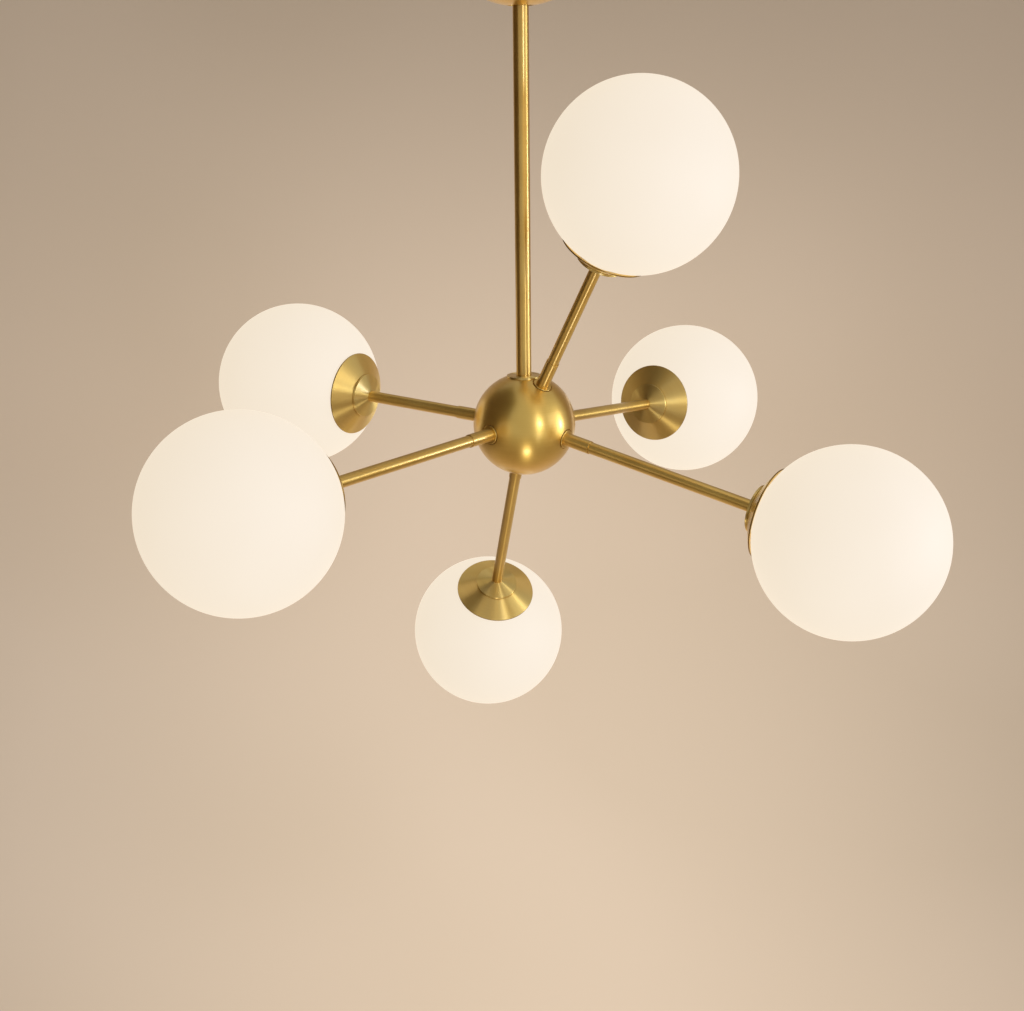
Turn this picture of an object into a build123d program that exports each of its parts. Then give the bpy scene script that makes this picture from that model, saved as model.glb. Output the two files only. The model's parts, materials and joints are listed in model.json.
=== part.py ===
"""Six-arm globe chandelier on a drop rod, in millimetres.

The origin is the centre of the ceiling bracket's top face, +Z is up and the
lamp hangs below.  A ball in a yoke under the bracket lets the rod swing and
turn.  The rod carries a hollow ball hub, and six tubes leave the hub, each
with a shallow cone cap, a lamp holder, a bulb and an opal globe.
"""

import os
from math import atan2, cos, radians, sin, sqrt, tan

from build123d import *

# ---------------------------------------------------------------- clearances
RUNNING_GAP = 0.05        # turning shaft in its bore, on the radius
BALL_GAP = 0.10           # between spherical bearing faces, on the radius
LOOSE_GAP = 0.30          # between pieces that lift apart
THREAD_GAP = 0.05         # screwed pieces, on the radius

# ------------------------------------------------------------ ceiling bracket
STRAP_WIDTH = 34.0
STRAP_THICK = 2.0
STRAP_WIRE_HOLE_R = 10.0
SLOT_SPACING = 79.4       # middle of the 69.9 to 88.9 mm box screw spacings
SLOT_LENGTH = 24.0
SLOT_WIDTH = 4.8
EAR_DEPTH = 9.0           # how far the bent ends reach down from the ceiling
EARTH_SCREW_X = 46.0
EARTH_SCREW_Y = -10.5
EARTH_SCREW_R = 1.75
EARTH_HEAD_R = 3.5
EARTH_HEAD_THICK = 2.2

# --------------------------------------------------------------------- canopy
CANOPY_R = 60.0
CANOPY_RIM = 10.0         # straight wall below the ceiling
CANOPY_DOME_R = 75.0      # radius of the dome's outer face
CANOPY_WALL = 1.2
CANOPY_HOLE_R = 10.5
CANOPY_SCREW_Z = -5.0
CANOPY_SCREW_R = 2.0
CANOPY_SCREW_HEAD_R = 3.5
CANOPY_SCREW_HEAD = 2.3
CANOPY_SCREW_REACH = 3.0  # how far the shank passes the ear
SCREW_SLOT_WIDTH = 0.9
SCREW_SLOT_DEPTH = 0.9

# --------------------------------------------------------------- swivel yoke
BALL_ABOVE_CANOPY = 18.0  # ball's centre above the canopy's lowest point
BALL_R = 13.0
BALL_TOP = 6.0            # flat above the ball's centre
BALL_BOTTOM = 10.5        # flat below the ball's centre
SEAT_RING_WALL = 1.8
SEAT_RING_TOP = 5.0       # both measured below the ball's centre
SEAT_RING_BOTTOM = 9.9
YOKE_LEG_X = 18.0         # inner face of each leg
YOKE_THICK = 2.0
YOKE_FLANGE = 7.5
YOKE_PLATE_TOP = 5.0      # both measured below the ball's centre
YOKE_PLATE_BOTTOM = 11.0
RIVET_R = 1.6
RIVET_HEAD_R = 2.8
RIVET_HEAD_THICK = 1.0
RIVET_Y = 11.0

# ----------------------------------------------------------------------- rod
ROD_R = 6.5
ROD_BORE_R = 4.8
ROD_ABOVE_BALL = 6.0      # rod end above the ball's flat
TOP_NUT_FLATS = 18.0
TOP_NUT_THICK = 3.8
TOP_NUT_LIFT = 0.2        # play between nut and ball
SUPPLY_LEAD_R = 3.0
SUPPLY_LEAD_TOP_Z = -3.0
ROD_SHOWING = 298.0       # canopy's lowest point to the disc on the hub

# ----------------------------------------------------------------------- hub
HUB_R = 44.0
HUB_WALL = 3.5
HUB_DISC_R = 14.8
HUB_DISC_THICK = 1.5
HUB_DISC_SEAT = 41.4      # flat on the ball, above its centre
HUB_NUT_FLATS = 17.0
HUB_NUT_THICK = 3.6
HUB_NUT_LIFT = 35.6       # underside of the nut above the hub's centre
ROD_END_LIFT = 34.8
PLUG_R = 14.5
PLUG_THREAD_R = 12.6
PLUG_SEAT = 41.9          # below the hub's centre
PLUG_THREAD_LENGTH = 3.5
PLUG_SLOT_WIDTH = 1.6
PLUG_SLOT_DEPTH = 1.0
BLOCK_R = 12.0
BLOCK_HEIGHT = 24.0
BLOCK_ENTRY_DEPTH = 5.0

# ---------------------------------------------------------------------- arms
LONG_ARM_LENGTH = 173.0   # tube and sleeve that show between hub and boss
SHORT_ARM_LENGTH = 118.0
ARM_R = 5.0
ARM_BORE_R = 2.0
COLLAR_R = 8.0
COLLAR_SEAT = 42.5        # flat on the ball, from its centre
COLLAR_THICK = 1.5
SLEEVE_R = 5.6
SLEEVE_END = 68.0         # from the hub's centre
SLEEVE_SPIGOT_R = 4.0
SLEEVE_SPIGOT_END = 35.5
SLEEVE_NUT_FLATS = 12.0
SLEEVE_NUT_THICK = 3.0
SLEEVE_NUT_START = 36.6
ARM_TENON_R = 3.0
ARM_TENON_LENGTH = 12.0
ARM_LEAD_R = 1.2

# ------------------------------------------------------------------ cap
GLOBE_R = 75.0
CAP_RIM_R = 37.3
CAP_LIP = 1.2             # short straight edge at the cap's rim
CAP_GLASS_GAP = 0.56      # between the lip and the globe, along the arm
CAP_SHOULDER_R = 19.8
CAP_CONE = 10.0           # height of the cone along the arm
CAP_WALL = 1.2
BOSS_R = 19.5
BOSS_EDGE = 1.5
BOSS_RISE = 7.6           # cone of the boss between its edge and the arm
CARRIER_R = 16.9
CARRIER_WALL = 1.3
CARRIER_WEB = 1.2
CARRIER_DEPTH = 10.3
CAP_NUT_FLATS = 12.0
CAP_NUT_THICK = 3.0
GASKET_INNER_R = 17.4
GASKET_OUTER_R = 19.4
GASKET_THICK = 1.4
CAP_TENON_R = 4.0

# --------------------------------------------------------------------- globe
GLASS_WALL = 2.3
NECK_WALL = 3.2
NECK_LENGTH = 6.1

# --------------------------------------------------------- lamp holder, bulb
HOLDER_R = 9.5
HOLDER_LENGTH = 20.0
HOLDER_TENON_DEPTH = 3.2
HOLDER_LEAD_DEPTH = 9.0
PIN_SPACING = 9.0
PIN_R = 0.75
PIN_LENGTH = 8.0
PIN_HOLE_GAP = 0.30
BULB_BASE_R = 7.4
BULB_BASE_LENGTH = 15.0
BULB_R = 8.0
BULB_LENGTH = 44.0

# name, tube length that shows, direction on the plan, angle above level
ARMS = (
    ("top", SHORT_ARM_LENGTH, -45.5, 59.5),
    ("left", SHORT_ARM_LENGTH, 148.5, 2.5),
    ("front", LONG_ARM_LENGTH, -133.0, -2.0),
    ("bottom", LONG_ARM_LENGTH, 103.0, -57.0),
    ("back", LONG_ARM_LENGTH, 56.0, -6.5),
    ("right", LONG_ARM_LENGTH, -34.5, -10.5),
)

# ------------------------------------------------------------ derived levels
CANOPY_DOME_Z = -CANOPY_RIM + sqrt(CANOPY_DOME_R**2 - CANOPY_R**2)
CANOPY_LOWEST_Z = CANOPY_DOME_Z - CANOPY_DOME_R
CANOPY_INNER_R = CANOPY_R - CANOPY_WALL
BALL_Z = CANOPY_LOWEST_Z + BALL_ABOVE_CANOPY
EAR_X = CANOPY_INNER_R - LOOSE_GAP - STRAP_WIDTH**2 / (8 * CANOPY_INNER_R)
SEAT_RING_INNER_R = BALL_R + BALL_GAP
SEAT_RING_OUTER_R = SEAT_RING_INNER_R + SEAT_RING_WALL
YOKE_SEAT_R = SEAT_RING_OUTER_R + BALL_GAP
YOKE_OUTER_X = YOKE_LEG_X + YOKE_THICK
YOKE_BOTTOM_Z = BALL_Z - YOKE_PLATE_BOTTOM
ROD_TOP_Z = BALL_Z + BALL_TOP + ROD_ABOVE_BALL
TOP_NUT_Z = BALL_Z + BALL_TOP + TOP_NUT_LIFT
HUB_INNER_R = HUB_R - HUB_WALL
HUB_Z = CANOPY_LOWEST_Z - ROD_SHOWING - HUB_DISC_THICK - HUB_DISC_SEAT
HUB_CENTRE = Vector(0, 0, HUB_Z)
COLLAR_FACE = COLLAR_SEAT + COLLAR_THICK

# levels along an arm, from its globe's centre towards the hub
CAP_LIP_LEVEL = sqrt(GLOBE_R**2 - (CAP_RIM_R - CAP_WALL) ** 2) + CAP_GLASS_GAP
CAP_RIM_LEVEL = CAP_LIP_LEVEL + CAP_LIP
CAP_TOP_LEVEL = CAP_RIM_LEVEL + CAP_CONE
CAP_FLAT_LEVEL = CAP_TOP_LEVEL - CAP_WALL
CAP_SLOPE = atan2(CAP_CONE, CAP_RIM_R - CAP_SHOULDER_R)
BOSS_LEVEL = CAP_TOP_LEVEL + BOSS_EDGE + BOSS_RISE
CARRIER_WEB_LEVEL = CAP_FLAT_LEVEL - CARRIER_WEB
HOLDER_LEVEL = CARRIER_WEB_LEVEL - CAP_NUT_THICK
HOLDER_FACE_LEVEL = HOLDER_LEVEL - HOLDER_LENGTH
CAP_TENON_LEVEL = HOLDER_LEVEL - HOLDER_TENON_DEPTH + LOOSE_GAP
NECK_BORE_R = CARRIER_R + LOOSE_GAP
NECK_OUTER_R = NECK_BORE_R + NECK_WALL
NECK_TOP_LEVEL = CAP_FLAT_LEVEL - GASKET_THICK - LOOSE_GAP
BULB_SEAT_LEVEL = HOLDER_FACE_LEVEL - LOOSE_GAP
BULB_TIP_LEVEL = BULB_SEAT_LEVEL - BULB_LENGTH


class ArmFrame:
    """Places pieces on one arm, by distance from the hub's centre."""

    def __init__(self, name, showing, azimuth, elevation):
        level = cos(radians(elevation))
        self.name = name
        self.direction = Vector(
            level * cos(radians(azimuth)),
            level * sin(radians(azimuth)),
            sin(radians(elevation)),
        )
        self.across = Vector(-sin(radians(azimuth)), cos(radians(azimuth)), 0)
        self.length = HUB_R + showing + BOSS_LEVEL
        self.axis = Axis(HUB_CENTRE, self.direction)
        self.profile = Plane(
            HUB_CENTRE, x_dir=self.across, z_dir=self.across.cross(self.direction)
        )

    def at(self, distance):
        """Plane square to the arm, its normal pointing away from the hub."""
        origin = HUB_CENTRE + self.direction * distance
        return Plane(origin, x_dir=self.across, z_dir=self.direction)

    def from_globe(self, level):
        """Distance from the hub's centre of a level measured at the globe."""
        return self.length - level


def sphere_reach(radius, offset):
    """Height of a sphere's face above its centre at a distance off axis."""
    return sqrt(radius**2 - offset**2)


def add_turned(outline, plane, axis, mode=Mode.ADD):
    """Turn a closed outline of (radius, distance) points about an axis."""
    with BuildSketch(plane) as profile:
        with BuildLine():
            Polyline(*outline, close=True)
        make_face()
    revolve(profile.sketch, axis=axis, mode=mode)


def add_tube(frame, radius, bore, start, end):
    """Straight tube on an arm between two distances from the hub."""
    with BuildSketch(frame.at(start)) as section:
        Circle(radius)
        Circle(bore, mode=Mode.SUBTRACT)
    extrude(section.sketch, amount=end - start)


def add_hex_nut(plane, flats, bore, thick):
    """Hexagon nut that starts on a plane and grows along its normal."""
    with BuildSketch(plane) as hexagon:
        RegularPolygon(flats / 2, 6, major_radius=False)
        Circle(bore, mode=Mode.SUBTRACT)
    extrude(hexagon.sketch, amount=thick)


def bore_out(plane, radius, depth):
    """Cut a round hole from a plane along its normal."""
    with BuildSketch(plane) as hole:
        Circle(radius)
    extrude(hole.sketch, amount=depth, mode=Mode.SUBTRACT)


def write_out(builder, name):
    """Label a finished piece and write its STEP file."""
    builder.part.label = name
    export_step(builder.part, f"parts/{name}.step")


# ================================================================== ceiling
def make_mounting_bracket():
    """Strap with two box slots, a wire hole and bent-down tapped ends."""
    with BuildPart() as bracket:
        with BuildSketch(Plane.XY.offset(-STRAP_THICK)):
            Rectangle(2 * EAR_X, STRAP_WIDTH)
            Circle(STRAP_WIRE_HOLE_R, mode=Mode.SUBTRACT)
            with Locations((-SLOT_SPACING / 2, 0), (SLOT_SPACING / 2, 0)):
                SlotOverall(SLOT_LENGTH, SLOT_WIDTH, mode=Mode.SUBTRACT)
            with Locations(*rivet_points()):
                Circle(RIVET_R + THREAD_GAP, mode=Mode.SUBTRACT)
            with Locations((EARTH_SCREW_X, EARTH_SCREW_Y)):
                Circle(EARTH_SCREW_R + THREAD_GAP, mode=Mode.SUBTRACT)
        extrude(amount=STRAP_THICK)
        for side in (-1, 1):
            with BuildSketch(Plane.YZ.offset(side * (EAR_X - STRAP_THICK / 2))):
                with Locations((0, -EAR_DEPTH / 2)):
                    Rectangle(STRAP_WIDTH, EAR_DEPTH)
                with Locations((0, CANOPY_SCREW_Z)):
                    Circle(CANOPY_SCREW_R + THREAD_GAP, mode=Mode.SUBTRACT)
            extrude(amount=STRAP_THICK / 2, both=True)
    write_out(bracket, "mounting_bracket")


def rivet_points():
    """Centres of the four rivets that join yoke and strap."""
    x = YOKE_OUTER_X + YOKE_FLANGE / 2
    return [(sx * x, sy * RIVET_Y) for sx in (-1, 1) for sy in (-1, 1)]


def make_swivel_yoke():
    """U-shaped hanger with a spherical seat in its thick floor."""
    flange_x = YOKE_OUTER_X + YOKE_FLANGE
    floor_top = BALL_Z - YOKE_PLATE_TOP
    underside = -STRAP_THICK
    outline = (
        (flange_x, underside),
        (flange_x, underside - YOKE_THICK),
        (YOKE_OUTER_X, underside - YOKE_THICK),
        (YOKE_OUTER_X, YOKE_BOTTOM_Z),
        (-YOKE_OUTER_X, YOKE_BOTTOM_Z),
        (-YOKE_OUTER_X, underside - YOKE_THICK),
        (-flange_x, underside - YOKE_THICK),
        (-flange_x, underside),
        (-YOKE_LEG_X, underside),
        (-YOKE_LEG_X, floor_top),
        (YOKE_LEG_X, floor_top),
        (YOKE_LEG_X, underside),
    )
    with BuildPart() as yoke:
        with BuildSketch(Plane.XZ):
            with BuildLine():
                Polyline(*outline, close=True)
            make_face()
        extrude(amount=STRAP_WIDTH / 2, both=True)
        with Locations((0, 0, BALL_Z)):
            Sphere(YOKE_SEAT_R, mode=Mode.SUBTRACT)
        with BuildSketch(Plane.XY.offset(underside - YOKE_THICK)):
            with Locations(*rivet_points()):
                Circle(RIVET_R + THREAD_GAP)
        extrude(amount=YOKE_THICK, mode=Mode.SUBTRACT)
    write_out(yoke, "swivel_yoke")


def make_yoke_rivets():
    """Four rivets with flat heads flush under the yoke's flanges."""
    head_z = -STRAP_THICK - YOKE_THICK - RIVET_HEAD_THICK
    with BuildPart() as rivets:
        with BuildSketch(Plane.XY.offset(head_z)):
            with Locations(*rivet_points()):
                Circle(RIVET_HEAD_R)
        extrude(amount=RIVET_HEAD_THICK)
        with BuildSketch(Plane.XY.offset(head_z)):
            with Locations(*rivet_points()):
                Circle(RIVET_R)
        extrude(amount=-head_z)
    write_out(rivets, "yoke_rivets")


def make_earth_screw():
    """Earth screw through the strap, its slotted head below."""
    head_top = -STRAP_THICK
    with BuildPart() as screw:
        with BuildSketch(Plane.XY.offset(head_top - EARTH_HEAD_THICK)):
            with Locations((EARTH_SCREW_X, EARTH_SCREW_Y)):
                Circle(EARTH_HEAD_R)
        extrude(amount=EARTH_HEAD_THICK)
        with BuildSketch(Plane.XY.offset(head_top)):
            with Locations((EARTH_SCREW_X, EARTH_SCREW_Y)):
                Circle(EARTH_SCREW_R)
        extrude(amount=STRAP_THICK)
        with BuildSketch(Plane.XY.offset(head_top - EARTH_HEAD_THICK)):
            with Locations((EARTH_SCREW_X, EARTH_SCREW_Y)):
                Rectangle(2 * EARTH_HEAD_R, SCREW_SLOT_WIDTH)
        extrude(amount=SCREW_SLOT_DEPTH, mode=Mode.SUBTRACT)
    write_out(screw, "earth_screw")


def make_canopy():
    """Spun dome with a short straight rim and a hole for the rod."""
    inner_dome_r = CANOPY_DOME_R - CANOPY_WALL
    rim_joint = (CANOPY_R, -CANOPY_RIM)
    inner_joint_z = CANOPY_DOME_Z - sphere_reach(inner_dome_r, CANOPY_INNER_R)
    hole_outer = (CANOPY_HOLE_R, CANOPY_DOME_Z - sphere_reach(CANOPY_DOME_R, CANOPY_HOLE_R))
    hole_inner = (CANOPY_HOLE_R, CANOPY_DOME_Z - sphere_reach(inner_dome_r, CANOPY_HOLE_R))
    inner_joint = (CANOPY_INNER_R, inner_joint_z)
    with BuildPart() as canopy:
        with BuildSketch(Plane.XZ):
            with BuildLine():
                Line((CANOPY_R, 0), rim_joint)
                ThreePointArc(rim_joint, dome_point(CANOPY_DOME_R), hole_outer)
                Line(hole_outer, hole_inner)
                ThreePointArc(hole_inner, dome_point(inner_dome_r), inner_joint)
                Line(inner_joint, (CANOPY_INNER_R, 0))
                Line((CANOPY_INNER_R, 0), (CANOPY_R, 0))
            make_face()
        revolve(axis=Axis.Z)
        with BuildSketch(Plane.YZ):
            with Locations((0, CANOPY_SCREW_Z)):
                Circle(CANOPY_SCREW_R + LOOSE_GAP)
        extrude(amount=CANOPY_R, both=True, mode=Mode.SUBTRACT)
    write_out(canopy, "canopy")


def dome_point(radius):
    """Point of a canopy dome face halfway between hole and rim."""
    off_axis = (CANOPY_HOLE_R + CANOPY_INNER_R) / 2
    return (off_axis, CANOPY_DOME_Z - sphere_reach(radius, off_axis))


def make_canopy_screws():
    """Two slotted screws through the canopy's rim into the strap's ends."""
    shank_end = EAR_X - STRAP_THICK - CANOPY_SCREW_REACH
    with BuildPart() as screws:
        for side in (-1, 1):
            with BuildSketch(Plane.YZ.offset(side * shank_end)):
                with Locations((0, CANOPY_SCREW_Z)):
                    Circle(CANOPY_SCREW_R)
            extrude(amount=side * (CANOPY_R - shank_end))
            with BuildSketch(Plane.YZ.offset(side * CANOPY_R)):
                with Locations((0, CANOPY_SCREW_Z)):
                    Circle(CANOPY_SCREW_HEAD_R)
            extrude(amount=side * CANOPY_SCREW_HEAD)
            slot_x = CANOPY_R + CANOPY_SCREW_HEAD - SCREW_SLOT_DEPTH
            with BuildSketch(Plane.YZ.offset(side * slot_x)):
                with Locations((0, CANOPY_SCREW_Z)):
                    Rectangle(2 * CANOPY_SCREW_HEAD_R, SCREW_SLOT_WIDTH)
            extrude(amount=side * SCREW_SLOT_DEPTH, mode=Mode.SUBTRACT)
    write_out(screws, "canopy_side_screws")


# =================================================================== swivel
def make_ball_seat_ring():
    """Thin spherical ring between the ball and the yoke."""
    with BuildPart() as ring:
        with Locations((0, 0, BALL_Z)):
            Sphere(SEAT_RING_OUTER_R)
            Sphere(SEAT_RING_INNER_R, mode=Mode.SUBTRACT)
        split(bisect_by=Plane.XY.offset(BALL_Z - SEAT_RING_TOP), keep=Keep.BOTTOM)
        split(bisect_by=Plane.XY.offset(BALL_Z - SEAT_RING_BOTTOM), keep=Keep.TOP)
    write_out(ring, "ball_seat_ring")


def make_hanger_ball():
    """Ball with flats above and below and a bore for the rod."""
    with BuildPart() as ball:
        with Locations((0, 0, BALL_Z)):
            Sphere(BALL_R)
        split(bisect_by=Plane.XY.offset(BALL_Z + BALL_TOP), keep=Keep.BOTTOM)
        split(bisect_by=Plane.XY.offset(BALL_Z - BALL_BOTTOM), keep=Keep.TOP)
        bore_out(Plane.XY.offset(BALL_Z - BALL_R), ROD_R + RUNNING_GAP, 2 * BALL_R)
    write_out(ball, "hanger_ball")


def make_downrod():
    """Drop rod from above the ball down into the hub."""
    bottom_z = HUB_Z + ROD_END_LIFT
    with BuildPart() as rod:
        with BuildSketch(Plane.XY.offset(bottom_z)):
            Circle(ROD_R)
            Circle(ROD_BORE_R, mode=Mode.SUBTRACT)
        extrude(amount=ROD_TOP_Z - bottom_z)
    write_out(rod, "downrod")


def make_rod_top_nut():
    """Nut on the rod's thread that rests the rod on the ball."""
    with BuildPart() as nut:
        add_hex_nut(Plane.XY.offset(TOP_NUT_Z), TOP_NUT_FLATS, ROD_R, TOP_NUT_THICK)
    write_out(nut, "rod_top_nut")


# ====================================================================== hub
def make_hub_shell(frames):
    """Hollow ball with flats and holes for the rod, the arms and the plug."""
    with BuildPart() as hub:
        with Locations(HUB_CENTRE):
            Sphere(HUB_R)
            Sphere(HUB_INNER_R, mode=Mode.SUBTRACT)
        bore_out(Plane.XY.offset(HUB_Z), ROD_R, HUB_R)
        bore_out(Plane.XY.offset(HUB_Z + HUB_DISC_SEAT), HUB_DISC_R + THREAD_GAP, HUB_WALL)
        downward = Plane(HUB_CENTRE, x_dir=(1, 0, 0), z_dir=(0, 0, -1))
        bore_out(downward, PLUG_THREAD_R + THREAD_GAP, HUB_R)
        bore_out(downward.offset(PLUG_SEAT), PLUG_R + THREAD_GAP, HUB_WALL)
        for frame in frames:
            bore_out(frame.at(0), SLEEVE_SPIGOT_R + THREAD_GAP, HUB_R)
            bore_out(frame.at(COLLAR_SEAT), COLLAR_R + THREAD_GAP, HUB_WALL)
    write_out(hub, "hub_shell")


def make_hub_top_disc():
    """Flat disc round the rod on top of the hub."""
    with BuildPart() as disc:
        with BuildSketch(Plane.XY.offset(HUB_Z + HUB_DISC_SEAT)):
            Circle(HUB_DISC_R)
            Circle(ROD_R, mode=Mode.SUBTRACT)
        extrude(amount=HUB_DISC_THICK)
    write_out(disc, "hub_top_disc")


def make_hub_rod_nut():
    """Nut inside the hub that pulls the ball up against the disc."""
    with BuildPart() as nut:
        add_hex_nut(Plane.XY.offset(HUB_Z + HUB_NUT_LIFT), HUB_NUT_FLATS, ROD_R, HUB_NUT_THICK)
    write_out(nut, "hub_rod_nut")


def make_hub_bottom_plug():
    """Screw plug, flush with the ball, over the wiring opening."""
    thread_top = PLUG_SEAT - PLUG_THREAD_LENGTH
    with BuildPart() as plug:
        with Locations(HUB_CENTRE):
            Sphere(HUB_R)
        split(bisect_by=Plane.XY.offset(HUB_Z - PLUG_SEAT), keep=Keep.BOTTOM)
        with BuildSketch(Plane.XY.offset(HUB_Z - HUB_R)):
            Circle(PLUG_R)
        extrude(amount=HUB_R, mode=Mode.INTERSECT)
        with BuildSketch(Plane.XY.offset(HUB_Z - PLUG_SEAT)):
            Circle(PLUG_THREAD_R)
        extrude(amount=PLUG_SEAT - thread_top)
        with BuildSketch(Plane.XY.offset(HUB_Z - HUB_R)):
            Rectangle(2 * PLUG_R, PLUG_SLOT_WIDTH)
        extrude(amount=PLUG_SLOT_DEPTH, mode=Mode.SUBTRACT)
    write_out(plug, "hub_bottom_plug")


def make_hub_terminal_block(frames):
    """Terminal drum in the hub with one entry for each arm's lead."""
    with BuildPart() as block:
        with BuildSketch(Plane.XY.offset(HUB_Z - BLOCK_HEIGHT / 2)):
            Circle(BLOCK_R)
        extrude(amount=BLOCK_HEIGHT)
        for frame in frames:
            bore_out(frame.at(lead_start(frame)), ARM_LEAD_R + THREAD_GAP, HUB_R)
    write_out(block, "hub_terminal_block")


def lead_start(frame):
    """Distance from the hub's centre to a lead's end inside the block."""
    rise = abs(frame.direction.Z)
    run = sqrt(1 - rise**2)
    reach = 1 / max(run / BLOCK_R, 2 * rise / BLOCK_HEIGHT)
    return reach - BLOCK_ENTRY_DEPTH


def make_supply_lead():
    """Round supply lead inside the rod, from the block to the strap."""
    bottom_z = HUB_Z + BLOCK_HEIGHT / 2
    with BuildPart() as lead:
        with BuildSketch(Plane.XY.offset(bottom_z)):
            Circle(SUPPLY_LEAD_R)
        extrude(amount=SUPPLY_LEAD_TOP_Z - bottom_z)
    write_out(lead, "supply_lead")


# ===================================================================== arms
def make_arm_collars(frames):
    """Thin rings in the flats where the arms leave the hub."""
    with BuildPart() as collars:
        for frame in frames:
            add_tube(frame, COLLAR_R, SLEEVE_SPIGOT_R, COLLAR_SEAT, COLLAR_FACE)
    write_out(collars, "arm_collars")


def make_arm_sleeves(frames):
    """Screwed sleeves that hold the arm tubes on the hub."""
    tenon_start = SLEEVE_END - ARM_TENON_LENGTH
    outline = (
        (ARM_BORE_R, SLEEVE_SPIGOT_END),
        (SLEEVE_SPIGOT_R, SLEEVE_SPIGOT_END),
        (SLEEVE_SPIGOT_R, COLLAR_FACE),
        (SLEEVE_R, COLLAR_FACE),
        (SLEEVE_R, SLEEVE_END),
        (ARM_TENON_R, SLEEVE_END),
        (ARM_TENON_R, tenon_start),
        (ARM_BORE_R, tenon_start),
    )
    with BuildPart() as sleeves:
        for frame in frames:
            add_turned(outline, frame.profile, frame.axis)
    write_out(sleeves, "arm_sleeves")


def make_sleeve_nuts(frames):
    """Nuts inside the hub on the sleeves' threads."""
    with BuildPart() as nuts:
        for frame in frames:
            plane = frame.at(SLEEVE_NUT_START)
            add_hex_nut(plane, SLEEVE_NUT_FLATS, SLEEVE_SPIGOT_R, SLEEVE_NUT_THICK)
    write_out(nuts, "sleeve_nuts")


def make_arm_leads(frames):
    """Leads through the arm tubes, from the block to the lamp holders."""
    with BuildPart() as leads:
        for frame in frames:
            end = frame.from_globe(HOLDER_LEVEL - HOLDER_LEAD_DEPTH)
            with BuildSketch(frame.at(lead_start(frame))):
                Circle(ARM_LEAD_R)
            extrude(amount=end - lead_start(frame))
    write_out(leads, "arm_leads")


def make_arm_tube(frame):
    """Arm tube with a threaded tenon at each end."""
    boss = frame.from_globe(BOSS_LEVEL)
    end = frame.from_globe(CAP_TENON_LEVEL)
    start = SLEEVE_END - ARM_TENON_LENGTH
    outline = (
        (ARM_BORE_R, start),
        (ARM_TENON_R, start),
        (ARM_TENON_R, SLEEVE_END),
        (ARM_R, SLEEVE_END),
        (ARM_R, boss),
        (CAP_TENON_R, boss),
        (CAP_TENON_R, end),
        (ARM_BORE_R, end),
    )
    with BuildPart() as tube:
        add_turned(outline, frame.profile, frame.axis)
    write_out(tube, f"arm_tube_{frame.name}")


def make_boss_disc(frame):
    """Cone between the arm tube and the cap, as steep as the cap."""
    outline = (
        (CAP_TENON_R, frame.from_globe(CAP_TOP_LEVEL)),
        (BOSS_R, frame.from_globe(CAP_TOP_LEVEL)),
        (BOSS_R, frame.from_globe(CAP_TOP_LEVEL + BOSS_EDGE)),
        (ARM_R, frame.from_globe(BOSS_LEVEL)),
        (CAP_TENON_R, frame.from_globe(BOSS_LEVEL)),
    )
    with BuildPart() as boss:
        add_turned(outline, frame.profile, frame.axis)
    write_out(boss, f"boss_disc_{frame.name}")


def make_shade_cap(frame):
    """Spun cone cap that covers the globe's neck."""
    drop = CAP_WALL / cos(CAP_SLOPE)
    inner_rim_r = CAP_RIM_R - CAP_WALL
    inner_rim_level = CAP_RIM_LEVEL - drop + CAP_WALL * tan(CAP_SLOPE)
    inner_shoulder_r = CAP_SHOULDER_R - (drop - CAP_WALL) / tan(CAP_SLOPE)
    outline = (
        (CAP_TENON_R, frame.from_globe(CAP_TOP_LEVEL)),
        (CAP_SHOULDER_R, frame.from_globe(CAP_TOP_LEVEL)),
        (CAP_RIM_R, frame.from_globe(CAP_RIM_LEVEL)),
        (CAP_RIM_R, frame.from_globe(CAP_LIP_LEVEL)),
        (inner_rim_r, frame.from_globe(CAP_LIP_LEVEL)),
        (inner_rim_r, frame.from_globe(inner_rim_level)),
        (inner_shoulder_r, frame.from_globe(CAP_FLAT_LEVEL)),
        (CAP_TENON_R, frame.from_globe(CAP_FLAT_LEVEL)),
    )
    with BuildPart() as cap:
        add_turned(outline, frame.profile, frame.axis)
    write_out(cap, f"shade_cap_{frame.name}")


def make_glass_carriers(frames):
    """Threaded cups under the caps that the globes screw onto."""
    skirt_level = CAP_FLAT_LEVEL - CARRIER_DEPTH
    inner_r = CARRIER_R - CARRIER_WALL
    with BuildPart() as carriers:
        for frame in frames:
            outline = (
                (CAP_TENON_R, frame.from_globe(CAP_FLAT_LEVEL)),
                (CARRIER_R, frame.from_globe(CAP_FLAT_LEVEL)),
                (CARRIER_R, frame.from_globe(skirt_level)),
                (inner_r, frame.from_globe(skirt_level)),
                (inner_r, frame.from_globe(CARRIER_WEB_LEVEL)),
                (CAP_TENON_R, frame.from_globe(CARRIER_WEB_LEVEL)),
            )
            add_turned(outline, frame.profile, frame.axis)
    write_out(carriers, "glass_carriers")


def make_cap_nuts(frames):
    """Nuts that clamp boss, cap and carrier onto the arm tubes."""
    with BuildPart() as nuts:
        for frame in frames:
            plane = frame.at(frame.from_globe(CARRIER_WEB_LEVEL))
            add_hex_nut(plane, CAP_NUT_FLATS, CAP_TENON_R, CAP_NUT_THICK)
    write_out(nuts, "cap_nuts")


def make_glass_gaskets(frames):
    """Soft rings between the caps and the globes' necks."""
    with BuildPart() as gaskets:
        for frame in frames:
            start = frame.from_globe(CAP_FLAT_LEVEL)
            add_tube(frame, GASKET_OUTER_R, GASKET_INNER_R, start, start + GASKET_THICK)
    write_out(gaskets, "glass_gaskets")


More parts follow.
